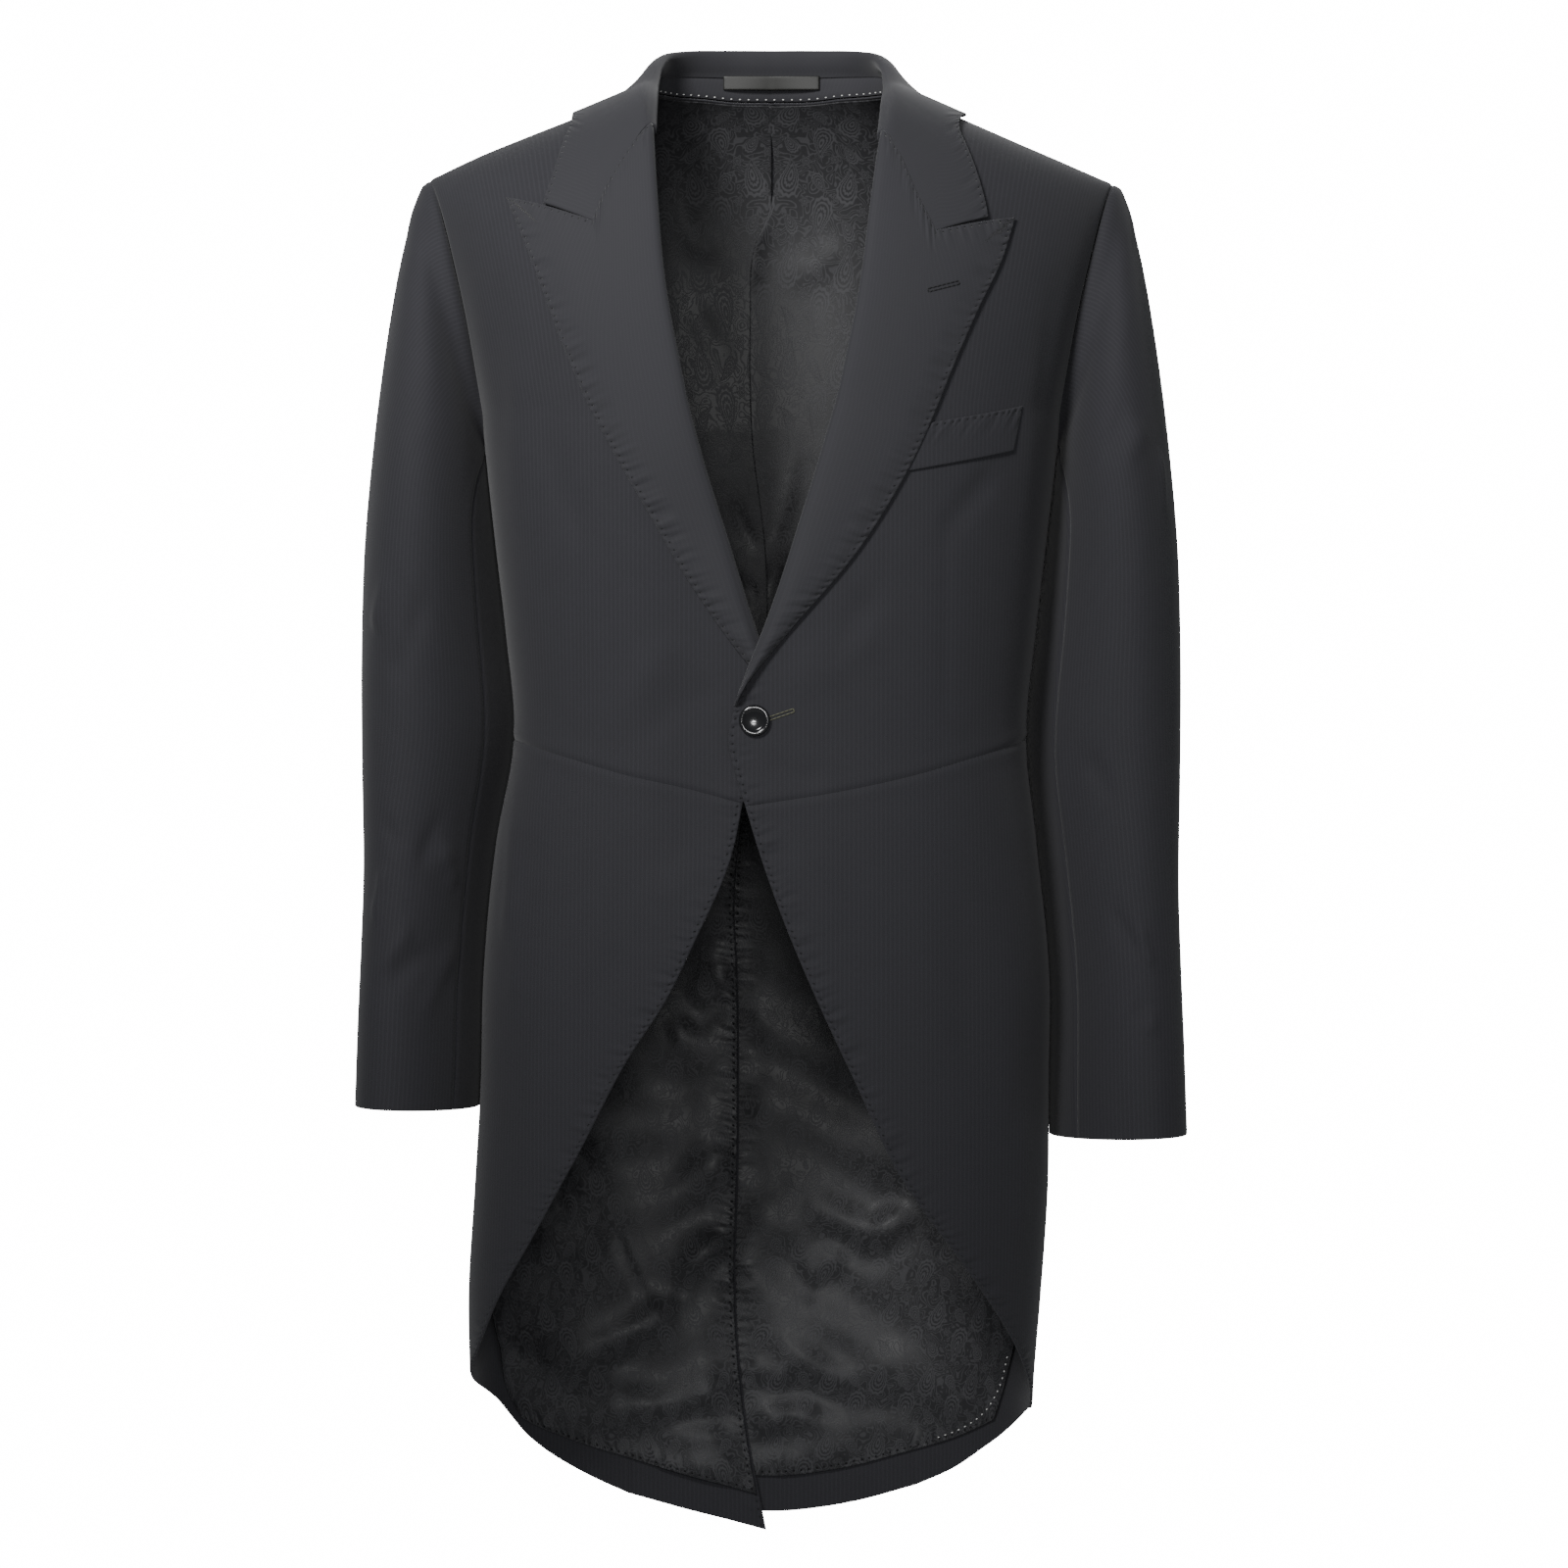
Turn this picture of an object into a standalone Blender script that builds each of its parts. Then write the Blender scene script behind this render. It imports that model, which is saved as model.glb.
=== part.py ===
"""A morning coat, filled out as worn, with nobody in it.

Units are metres, +Z is up, the front faces -Y and +X is the wearer's left. The origin is the
middle of the neck's base, level with the side neck points. Each cut piece of cloth is one solid.

A place on the cloth is (turn, height). Turn runs round the body in degrees: 0 is the centre front,
90 the side and 180 the centre back. Height is z up to the foot of the yoke, and above it the length
of cloth that goes up and over the shoulder. Both are taken on the piece's own side, so one table
serves left and right, and a place past the centre has a turn below 0 or above 180.
"""

import bpy
import bmesh
import numpy as np
from math import atan2, pi
from mathutils import Matrix, Vector

# Cloth
WALL = 0.0018  # shell cloth with its interlining
LINING_WALL = 0.0010
LINING_GAP = 0.0016  # from the shell's inner side to the lining
LINING_HEM = 0.045  # share of the tail below the lining's edge
LINING_TOP = 0.990
LINING_SET_BACK = 0.20  # of a column, back from the vent's edge
LINING_ROWS = 26  # of the tail lining, enough for its folds
LINING_SKIRT_COLS = 7  # columns of the skirt that the tail lining reaches over
SEAM_GAP = 0.0005
SLEEVE_GAP = 0.0009
LAP_FRONT = 0.0070  # how far the right side is set in under the left, at the button
LAP_VENT = 0.0050  # and at the vent
NOSE_REACH = 0.0030  # how far a turned edge stands in front of the edge that it wraps
LAPEL_LIFT = 0.0023  # from the forepart up to the underside of the lapel
LEAF_LIFT = 0.0034  # from the form up to the middle of the collar leaf

# Rows and columns of cloth cells
WAIST_ROWS = 7  # waist seam to armhole
YOKE_ROWS = 6  # armhole to shoulder seam
TAIL_ROWS = 10  # waist to hem
ROLL_ROWS = 10  # along the lapel's roll
NECK_COLS = 4
SHOULDER_COLS = 6
FRONT_COLS = NECK_COLS + SHOULDER_COLS
SIDE_COLS = 7

# Body
YOKE_FOOT = -0.215
YOKE_LENGTH = 0.26  # cloth from the yoke's foot to the shoulder line
SHOULDER_LINE = YOKE_FOOT + YOKE_LENGTH
RIDGE_Y = 0.012  # the shoulder line lies just behind the middle
GIRTH_SQUARE = 2.6  # squareness of the rounds: 2 is an ellipse
OVER_SQUARE = 2.5

# height, half width on the right, half width on the left, depth in front, depth behind
BODY = np.array((
    (-1.000, 0.2030, 0.1760, 0.112, 0.112),
    (-0.860, 0.2025, 0.1765, 0.114, 0.116),
    (-0.805, 0.2033, 0.1810, 0.115, 0.119),
    (-0.730, 0.1990, 0.1860, 0.116, 0.123),
    (-0.660, 0.1950, 0.1865, 0.117, 0.126),
    (-0.594, 0.1934, 0.1870, 0.118, 0.126),
    (-0.500, 0.1845, 0.1780, 0.117, 0.112),
    (-0.430, 0.1725, 0.1710, 0.116, 0.098),
    (-0.360, 0.1780, 0.1775, 0.119, 0.098),
    (-0.300, 0.1850, 0.1845, 0.123, 0.106),
    (-0.245, 0.1910, 0.1910, 0.126, 0.114),
    (-0.215, 0.1940, 0.1940, 0.126, 0.117),
))
# share of the way over the yoke, half width
YOKE = np.array(((0, 0.194), (0.2, 0.206), (0.4, 0.218), (0.6, 0.2277), (0.8, 0.234), (1, 0.236)))
# distance from the centre, height of the shoulder line on the right and on the left
RIDGE = np.array((
    (0, 0.030, 0.030), (0.045, 0.022, 0.022), (0.088, 0.004, 0.003), (0.130, -0.0135, -0.0153),
    (0.165, -0.027, -0.0304), (0.200, -0.041, -0.0450), (0.235, -0.0575, -0.0600), (0.260, -0.072, -0.0735),
))

# Places on the front, as (distance from the centre on the piece's own side, z)
FRONT_EDGE = {  # from the waist seam up to where the lapel starts to roll
    "right": ((0.0185, -0.4745), (0.002, -0.450), (-0.007, -0.430), (-0.006, -0.405)),
    "left": ((-0.0165, -0.4765), (-0.0226, -0.4563), (-0.0277, -0.4330), (-0.0255, -0.4090)),
}
ROLL_LINE = {
    "right": ((-0.006, -0.405), (0.0105, -0.3603), (0.0263, -0.3096), (0.0421, -0.259),
              (0.0548, -0.208), (0.0676, -0.138), (0.0731, -0.079), (0.0763, -0.031)),
    "left": ((-0.0255, -0.4090), (-0.0041, -0.3603), (0.0213, -0.2844), (0.0403, -0.221),
             (0.0562, -0.1445), (0.0647, -0.0793), (0.0709, -0.0361)),
}
LAPEL_EDGE = {
    "right": ((0.0000, -0.4010), (0.0187, -0.3794), (0.0549, -0.3286), (0.0804, -0.284),
              (0.124, -0.2013), (0.1357, -0.1733), (0.1517, -0.1299), (0.1739, -0.0762)),
    "left": ((-0.0187, -0.3984), (0.0086, -0.3667), (0.0594, -0.3064), (0.0849, -0.265),
             (0.1182, -0.190), (0.1344, -0.1528), (0.1503, -0.1195), (0.1593, -0.0910)),
}
GORGE = {  # the seam between collar and lapel, from the roll line to the notch
    "right": ((0.0763, -0.031), (0.0941, -0.0519), (0.1042, -0.0693), (0.1148, -0.0963)),
    "left": ((0.0709, -0.0361), (0.0823, -0.0503), (0.0924, -0.0745), (0.1063, -0.1032)),
}
COLLAR_CORNER = {"right": (0.1477, -0.0828), "left": (0.1408, -0.0925)}
COLLAR_EDGE = {  # from that corner up to the shoulder
    "right": ((0.1441, -0.067), (0.1385, -0.0541), (0.1324, -0.030)),
    "left": ((0.1378, -0.0736), (0.1329, -0.0581), (0.1238, -0.034)),
}
CUTAWAY = {  # the skirt's front edge, from the waist seam to the side
    "right": ((0.0185, -0.4745), (0.0245, -0.5046), (0.0512, -0.5682), (0.0684, -0.6033),
              (0.0927, -0.6404), (0.1321, -0.7147), (0.1724, -0.7861), (0.1989, -0.8451)),
    "left": ((-0.0165, -0.4765), (-0.0035, -0.5186), (0.0277, -0.5974), (0.0538, -0.6535),
             (0.0864, -0.7208), (0.1199, -0.7677), (0.1556, -0.8206), (0.1714, -0.8553)),
}
WELT = ((0.1008, -0.2280), (0.1641, -0.2140), (0.0836, -0.2600), (0.1582, -0.2437))
WELT_WALL = 0.0012
WELT_LIFT = 0.0018
BUTTON_AT = (-0.0105, -0.4207)
# Places on the back, as (distance from the centre on the piece's own side, z)
SIDE_HEM = {"right": -0.8590, "left": -0.8820}
HEM = {
    "right": ((0.1871, -0.8849), (0.1666, -0.9132), (0.1255, -0.9425), (0.1000, -0.9550),
              (0.0600, -0.9665), (0.0317, -0.9737), (0.0037, -0.9812)),
    "left": ((0.1747, -0.8851), (0.1485, -0.9181), (0.1250, -0.9365), (0.1000, -0.9490),
             (0.0564, -0.9618), (0.0100, -0.9685), (-0.0280, -0.9680)),
}
HEM_SPLIT = 4  # the side-back seam reaches the hem at the fourth place
VENT = {
    "right": ((0.0037, -0.9812), (0.0160, -0.9172), (0.0229, -0.8587), (0.0229, -0.7020),
              (0.0236, -0.5992), (0.0256, -0.5304), (0.0160, -0.4700), (0.0, -0.4300)),
    "left": ((-0.0280, -0.9680), (-0.0300, -0.8600), (-0.0300, -0.7000), (-0.0290, -0.5600),
             (-0.0200, -0.4900), (0.0, -0.4300)),
}

# The folded edge of the left back lining, which laps over the right one in a centre pleat
PLEAT = ((-0.0022, 0.0068), (-0.0016, -0.0635), (-0.0119, -0.0868), (-0.0153, -0.1407),
         (-0.0133, -0.2295), (-0.0050, -0.2983), (-0.0040, -0.4300))
PLEAT_LIFT = 0.0016
# The largest folds of the tail lining. Each runs through three places and stands into the hollow.
# side, (x, z) of its start, middle and end, half width, depth
FOLDS = (
    ("right", (0.036, -0.545), (0.046, -0.566), (0.064, -0.580), 0.013, 0.0050),
    ("right", (0.027, -0.774), (0.046, -0.797), (0.070, -0.812), 0.014, 0.0060),
    ("right", (0.027, -0.890), (0.070, -0.897), (0.116, -0.890), 0.012, 0.0055),
    ("right", (0.124, -0.700), (0.131, -0.752), (0.152, -0.802), 0.012, 0.0050),
    ("left", (0.020, -0.752), (0.062, -0.777), (0.103, -0.748), 0.014, 0.0070),
    ("left", (0.020, -0.851), (0.060, -0.873), (0.100, -0.853), 0.013, 0.0065),
)

# Seams, as (turn, height)
UNDERARM_TURN = 82
ARMHOLE = {"front": 18, "back": 20}  # degrees from the side
UNDERARM_TOP = -0.2300  # where the underarm seam meets the armhole
ARMHOLE_FOOT = -0.236
ARMHOLE_WIDE = -0.110  # where the armhole has reached its full width
SIDE_BACK = ((165, -0.415), (160, -0.330), (148, -0.250), (131, -0.190), (110, -0.150))
TAIL_SEAM = ((165, -0.415), (160, -0.520), (154, -0.700))
WAIST_SIDE = ((82, -0.4320), (120, -0.4210), (165, -0.4150))
WAIST_FRONT = ((0.0520, -0.4655), (0.0935, -0.4563), (0.1335, -0.4447), (0.1640, -0.4350))
NECK_BACK = 0.0068  # height of the neck seam at the centre back
NECK_SEAM = ((0.035, 0.0072), (0.063, 0.0078))
NECK_X = 0.088
NECK_DIP = 4.0  # degrees that the front neckline bows outwards, under the collar

# Collar: the fold from the centre back to the front, as x, y, z, and the share that is turned inside
FOLD = (
    (0.0000, 0.0640, 0.0380, 1.00),
    (0.0300, 0.0620, 0.0378, 1.00),
    (0.0550, 0.0520, 0.0362, 0.95),
    (0.0705, 0.0340, 0.0320, 0.85),
    (0.0770, 0.0120, 0.0225, 0.60),
    (0.0790, -0.0140, 0.0080, 0.15),
)
COLLAR_WALL = 0.0020
STAND_WALL = 0.0016
COLLAR_BACK_EDGE = ((0.112, -0.0110), (0.080, -0.0150), (0.040, -0.0130), (0.0, -0.0125))
LEAF_SHOULDER_X = 0.1290  # where the leaf's edge crosses the shoulder line
COLLAR_COLS = 14  # from the centre back to one end
LEAF_ROWS = 6
LEAF_START = (0.0045, 0.0035)  # where the leaf's fall begins, across from the fold and out from it
LEAF_SAG = 0.0040  # how far the leaf hangs in towards the shoulder, midway
LEAF_END_GAP = 0.0010
LEAF_NOTCH_ROW = 3  # the row of the leaf's end that lies at the notch
LEAF_BEND_COLS = 3  # columns over which the leaf turns to follow the gorge and the notch
STAND_ENDS = 7  # columns of the leaf, from each end, that have no stand behind them

# Sleeve rings: outer x, z; from the body's side to the inner side, inner z; half depth, middle y,
# how much further back the inner side lies
SLEEVE = np.array((
    (0.2244, -0.0575, 0.0012, -0.2360, 0.0560, 0.010, 0.000),
    (0.2400, -0.0670, 0.0048, -0.2420, 0.0560, 0.011, 0.000),
    (0.2460, -0.0920, 0.0043, -0.2520, 0.0665, 0.012, 0.004),
    (0.2525, -0.1250, 0.0032, -0.2660, 0.0760, 0.013, 0.014),
    (0.2600, -0.1750, 0.0019, -0.2860, 0.0820, 0.014, 0.026),
    (0.2670, -0.2350, 0.0012, -0.3110, 0.0840, 0.014, 0.036),
    (0.2730, -0.3050, 0.0012, -0.3500, 0.0810, 0.015, 0.042),
    (0.2750, -0.3800, 0.0012, -0.4000, 0.0750, 0.016, 0.045),
    (0.2745, -0.4500, 0.0012, -0.4550, 0.0690, 0.014, 0.045),
    (0.2730, -0.5150, 0.0012, -0.5150, 0.0640, 0.008, 0.045),
    (0.2740, -0.5700, 0.0012, -0.5700, 0.0610, 0.000, 0.045),
    (0.2755, -0.6200, 0.0011, -0.6200, 0.0595, -0.008, 0.045),
    (0.2770, -0.6760, 0.0010, -0.6790, 0.0580, -0.014, 0.042),
))
CUFF_DROP = {"right": 0.0, "left": 0.0190}  # the left sleeve hangs this much lower
SLEEVE_ROWS = 14
HIND_SEAM_COL = 3  # column, from the shoulder to the back, of the sleeve's hind seam
FORE_SEAM_COL = 7  # and of its fore seam, from the shoulder to the front
SLEEVE_BLEND = (0, 0.65, 1.0)  # how far the first rings have left the armhole's shape

BUTTON_R = 0.01015
BUTTON_HIGH = 0.0032
BUTTON_WELL_R = 0.0070
BUTTON_HOLE_R = 0.0008
BUTTON_HOLE_AT = 0.0016
LOOP_LONG = 0.066
LOOP_WIDE = 0.0095
LOOP_Z = 0.0190
LOOP_BOW = 0.0024
LOOP_OFF = 0.0022
LOOP_WALL = 0.0010

SIGN = {"right": -1, "left": 1}

PART = bpy.data.collections.new("morning_coat")
CUTTERS = bpy.data.collections.new("cutters")


def clear_scene():
    for thing in list(bpy.data.objects):
        bpy.data.objects.remove(thing)
    for collection in (PART, CUTTERS):
        bpy.context.scene.collection.children.link(collection)


def material(name, colour, roughness):
    made = bpy.data.materials.new(name)
    made.use_nodes = True
    shader = made.node_tree.nodes["Principled BSDF"]
    shader.inputs["Base Color"].default_value = (*colour, 1)
    shader.inputs["Roughness"].default_value = roughness
    shader.inputs["Metallic"].default_value = 0
    return made


# ---------------------------------------------------------------- curves and the body's form


def smooth_between(table, at):
    """Values of the table's columns at these places of its first column, on a smooth curve."""
    places, values = table[:, 0], table[:, 1:]
    at = np.clip(np.atleast_1d(at), places.min(), places.max())
    step = np.diff(places)[:, None]
    rise = np.diff(values, axis=0) / step
    slope = np.empty_like(values)
    slope[1:-1] = (rise[:-1] * step[1:] + rise[1:] * step[:-1]) / (step[1:] + step[:-1])
    slope[0], slope[-1] = rise[0], rise[-1]
    i = np.clip(np.searchsorted(places, at) - 1, 0, len(step) - 1)
    width = step[i]
    t = ((at - places[i]) / width[:, 0])[:, None]
    start = (2 * t**3 - 3 * t**2 + 1) * values[i] + (t**3 - 2 * t**2 + t) * width * slope[i]
    end = (3 * t**2 - 2 * t**3) * values[i + 1] + (t**3 - t**2) * width * slope[i + 1]
    return start + end


def quarter_round(square):
    """A quarter of a rounded square of side 1: share of its length, across and along."""
    angle = np.linspace(0, pi / 2, 800)
    across = np.sin(angle) ** (2 / square)
    along = np.abs(np.cos(angle)) ** (2 / square)
    length = np.append(0, np.cumsum(np.hypot(np.diff(across), np.diff(along))))
    return length / length[-1], across, along


GIRTH = quarter_round(GIRTH_SQUARE)
OVER = quarter_round(OVER_SQUARE)


def ramp(value, start, end):
    """0 before start, 1 after end, smooth between; start may be above end."""
    t = np.clip((value - start) / (end - start), 0, 1)
    return t * t * (3 - 2 * t)


def ridge(x):
    """Height of the shoulder line; x is below 0 on the wearer's right."""
    heights = smooth_between(RIDGE, np.abs(x))
    return np.where(np.atleast_1d(x) < 0, heights[:, 0], heights[:, 1])


def on_form(side, turn, height):
    """The body's form at these places, as an array of points."""
    turn, height = np.broadcast_arrays(np.atleast_1d(turn), np.atleast_1d(height))
    shape = turn.shape
    turn, height = turn.ravel().astype(float), height.ravel().astype(float)
    quarters = np.abs(turn) / 90
    front = quarters <= 1
    quarters = np.where(front, quarters, 2 - quarters)
    own = np.where((turn < 0) | (quarters < 0), -1, 1) * SIGN[side]
    quarters = np.abs(quarters)
    across = np.interp(quarters, GIRTH[0], GIRTH[1])
    along = np.interp(quarters, GIRTH[0], GIRTH[2])
    section = smooth_between(BODY, np.minimum(height, YOKE_FOOT))
    share = np.clip((height - YOKE_FOOT) / YOKE_LENGTH, 0, 1)
    half = np.where(own < 0, section[:, 0], section[:, 1])
    half = np.where(height > YOKE_FOOT, smooth_between(YOKE, share)[:, 0], half)
    x = own * half * across
    y = np.where(front, -section[:, 2], section[:, 3]) * along
    up = np.interp(share, OVER[0], OVER[1])
    over = np.interp(share, OVER[0], OVER[2])
    z = np.where(height > YOKE_FOOT, YOKE_FOOT + (ridge(x) - YOKE_FOOT) * up, height)
    y = np.where(height > YOKE_FOOT, RIDGE_Y + (y - RIDGE_Y) * over, y)
    return np.stack([x, y, z], -1).reshape(shape + (3,))


def outward(side, turn, height):
    """The form's normal at these places."""
    turn, height = np.broadcast_arrays(np.atleast_1d(turn), np.atleast_1d(height))
    low = np.minimum(height, SHOULDER_LINE - 0.004) - 0.004
    round_ = on_form(side, turn + 1.5, height) - on_form(side, turn - 1.5, height)
    up = on_form(side, turn, low + 0.008) - on_form(side, turn, low)
    normal = np.cross(round_, up) * SIGN[side]
    return normal / np.linalg.norm(normal, axis=-1, keepdims=True)


def tucked(side, turn, height):
    """How far the right side is set in where the left side laps over it."""
    if side == "left":
        return np.zeros(np.broadcast(turn, height).shape)
    front = LAP_FRONT * ramp(turn, 30, 12) * ramp(height, -0.20, -0.32) * ramp(height, -0.56, -0.49)
    back = LAP_VENT * ramp(turn, 148, 170) * ramp(height, -0.44, -0.50)
    return front + back


def cloth(side, places, lift=0.0):
    """Points on the form at an array of (turn, height), lifted off it along its normal."""
    turn, height = places[..., 0], places[..., 1]
    away = np.asarray(lift) - tucked(side, turn, height)
    return on_form(side, turn, height) + outward(side, turn, height) * away[..., None]


def place(side, x, z, behind=False):
    """The (turn, height) of a point that lies x from the centre at height z, in front or behind."""
    out = abs(x)
    own_half = 1 if (x >= 0) == (side == "left") else 0
    if z > YOKE_FOOT:
        up = (z - YOKE_FOOT) / (ridge(x * SIGN[side])[0] - YOKE_FOOT)
        share = np.interp(min(up, 1), OVER[1], OVER[0])
        half = smooth_between(YOKE, share)[0, 0]
        z = YOKE_FOOT + YOKE_LENGTH * share
    else:
        half = smooth_between(BODY, z)[0, own_half]
    turn = 90 * np.interp(min(out / half, 1), GIRTH[1], GIRTH[0])
    turn = turn if x >= 0 else -turn
    return np.array((180 - turn if behind else turn, z))


def places(side, points, behind=False):
    return np.array([place(side, x, z, behind) for x, z in points])


def run(side, points, cells, smooth=True):
    """Places evenly spaced along a smooth curve through these places, by length of cloth."""
    points = np.asarray(points, float)
    gaps = np.linalg.norm(np.diff(on_form(side, points[:, 0], points[:, 1]), axis=0), axis=1)
    table = np.column_stack([np.append(0, np.cumsum(gaps)), points])
    fine = np.linspace(0, table[-1, 0], 400)
    line = smooth_between(table, fine) if smooth and len(points) > 2 else np.column_stack(
        [np.interp(fine, table[:, 0], table[:, 1]), np.interp(fine, table[:, 0], table[:, 2])])
    gaps = np.linalg.norm(np.diff(on_form(side, line[:, 0], line[:, 1]), axis=0), axis=1)
    length = np.append(0, np.cumsum(gaps))
    even = np.linspace(0, length[-1], cells + 1)
    return np.column_stack([np.interp(even, length, line[:, i]) for i in range(2)])


def joined(*runs):
    """Runs end to end as one."""
    return np.concatenate([runs[0]] + [r[1:] for r in runs[1:]])


def patch(bottom, top, inner, outer, hold=4):
    """Places of a piece between its four edges; rows go up and columns go outwards.

    The bend of the bottom and top edges dies away into the piece, the sooner the higher hold is.
    """
    u = np.linspace(0, 1, len(bottom))[None, :, None]
    v = np.linspace(0, 1, len(inner))[:, None, None]
    grid = (1 - u) * inner[:, None] + u * outer[:, None]
    for edge, share in ((bottom, (1 - v) ** hold), (top, v**hold)):
        grid += share * (edge - (1 - u[0]) * edge[0] - u[0] * edge[-1])[None]
    return grid


# ---------------------------------------------------------------- solids


def pulled_in(points, gap):
    """The sheet with its four edges drawn in by half a seam gap."""
    points = points.copy()
    for edge, inside in (((0,), (1,)), ((-1,), (-2,))):
        for axis in (0, 1):
            e = np.moveaxis(points, axis, 0)
            way = e[inside[0]] - e[edge[0]]
            e[edge[0]] += way / np.linalg.norm(way, axis=-1, keepdims=True) * gap / 2
    return points


def sheet_normals(points):
    """Normals of a grid of points."""
    across = np.gradient(points, axis=1)
    along = np.gradient(points, axis=0)
    normal = np.cross(across, along)
    return normal / np.linalg.norm(normal, axis=-1, keepdims=True)


def add_sheet(name, outer, inner, finish, gap=SEAM_GAP):
    """A wall of cloth: a grid pushed out into a slab, its two skins moved to these points."""
    rows, cols = outer.shape[:2]
    skins = (pulled_in(outer, gap), pulled_in(inner, gap))
    bm = bmesh.new()
    bmesh.ops.create_grid(bm, x_segments=cols - 1, y_segments=rows - 1, size=0.5)
    made = bmesh.ops.extrude_face_region(bm, geom=bm.faces[:], use_keep_orig=True)
    pushed = {part for part in made["geom"] if isinstance(part, bmesh.types.BMVert)}
    for vert in bm.verts:
        row = round((vert.co.y + 0.5) * (rows - 1))
        col = round((vert.co.x + 0.5) * (cols - 1))
        vert.co = skins[1 if vert in pushed else 0][row, col]
    return add_mesh(name, bm, finish)


def add_mesh(name, bm, finish):
    bmesh.ops.recalc_face_normals(bm, faces=bm.faces[:])
    if bm.calc_volume(signed=True) < 0:
        bmesh.ops.reverse_faces(bm, faces=bm.faces[:])
    mesh = bpy.data.meshes.new(name)
    bm.to_mesh(mesh)
    bm.free()
    mesh.shade_smooth()
    mesh.materials.append(finish)
    made = bpy.data.objects.new(name, mesh)
    PART.objects.link(made)
    return made


def add_shell(name, side, grid, finish, wall=WALL, lift=0.0):
    """A panel whose outer side is this far off the form, and its wall inside that."""
    return add_sheet(name, cloth(side, grid, lift), cloth(side, grid, lift - wall), finish)


# ---------------------------------------------------------------- seams and panels


def armhole_turn(height, way):
    """Turn of the armhole's edge at this height, on its front or back half."""
    low = np.clip((ARMHOLE_WIDE - height) / (ARMHOLE_WIDE - ARMHOLE_FOOT), 0, 1)
    wide = ARMHOLE[way] * (1 - low**2.3) ** (1 / 2.3)
    return 90 - wide if way == "front" else 90 + wide


def armhole_run(side, way, start, end, cells):
    heights = np.linspace(start, end, 40)
    return run(side, np.column_stack([armhole_turn(heights, way), heights]), cells, smooth=False)


def seams(side):
    """Every seam of one side, as runs of places that the pieces on both sides of it share."""
    at = {}
    back_start = SIDE_BACK[-1][1]
    top = SHOULDER_LINE
    at["armhole_front"] = armhole_run(side, "front", UNDERARM_TOP, top, YOKE_ROWS)
    at["armhole_back"] = armhole_run(side, "back", back_start, top, YOKE_ROWS)
    dip = np.linspace(UNDERARM_TOP, ARMHOLE_FOOT, 12)
    rise = np.linspace(ARMHOLE_FOOT, back_start, 40)[1:]
    foot = np.concatenate([
        np.column_stack([armhole_turn(dip, "front"), dip]),
        np.column_stack([armhole_turn(rise, "back"), rise]),
    ])
    at["armhole_foot"] = run(side, foot, SIDE_COLS, smooth=False)
    at["side_back"] = run(side, SIDE_BACK[:-1] + (tuple(at["armhole_back"][0]),), WAIST_ROWS)
    underarm = ((UNDERARM_TURN, WAIST_SIDE[0][1]), (UNDERARM_TURN, -0.33), at["armhole_front"][0])
    at["underarm"] = run(side, underarm, WAIST_ROWS)
    hem = np.concatenate([[(90, SIDE_HEM[side])], places(side, HEM[side], behind=True)])
    at["hem_skirt"] = run(side, hem[: HEM_SPLIT + 1], FRONT_COLS + SIDE_COLS)
    at["hem_back"] = run(side, hem[HEM_SPLIT:], FRONT_COLS)
    at["tail_seam"] = run(side, TAIL_SEAM + (tuple(hem[HEM_SPLIT]),), TAIL_ROWS)
    at["cutaway"] = run(
        side, np.concatenate([places(side, CUTAWAY[side]), [(90, SIDE_HEM[side])]]), TAIL_ROWS)
    waist = np.concatenate([
        places(side, CUTAWAY[side][:1] + WAIST_FRONT), [WAIST_SIDE[0]]])
    at["waist_front"] = run(side, waist, FRONT_COLS)
    at["waist_side"] = run(side, WAIST_SIDE, SIDE_COLS)
    edge = places(side, FRONT_EDGE[side])
    roll = places(side, tuple((x + NOSE_REACH, z) for x, z in ROLL_LINE[side]))
    edge[-1] = roll[0]
    at["roll"] = run(side, roll, ROLL_ROWS)
    at["front_edge"] = joined(run(side, edge, WAIST_ROWS + YOKE_ROWS - ROLL_ROWS), at["roll"])
    neck_turn = 90 * np.interp(NECK_X / YOKE[-1, 1], GIRTH[1], GIRTH[0])
    end_turn = 90 - ARMHOLE["front"]
    share = np.linspace(0, 1, SHOULDER_COLS + 1)
    xs = on_form(side, (neck_turn, end_turn), (top, top))[:, 0] * SIGN[side]
    xs = xs[0] + (xs[1] - xs[0]) * share
    turns = 90 * np.interp(xs / YOKE[-1, 1], GIRTH[1], GIRTH[0])
    at["shoulder_front"] = np.column_stack([turns, np.full_like(turns, top)])
    back_turns = 180 - turns
    at["shoulder_back"] = np.column_stack([back_turns, np.full_like(turns, top)])
    neck = (roll[-1], (neck_turn + NECK_DIP, top - 0.025), (neck_turn, top))
    at["neck_front"] = run(side, neck, NECK_COLS)
    centre = place(side, 0.0, NECK_BACK, behind=True)
    at["neck_back"] = run(
        side, (centre, *places(side, NECK_SEAM, behind=True), (180 - neck_turn, top)), NECK_COLS)
    vent = places(side, VENT[side], behind=True)
    at["vent"] = run(side, vent, TAIL_ROWS)
    at["centre_back"] = run(side, (at["vent"][-1], (180, -0.25), centre), WAIST_ROWS + YOKE_ROWS)
    return at


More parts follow.
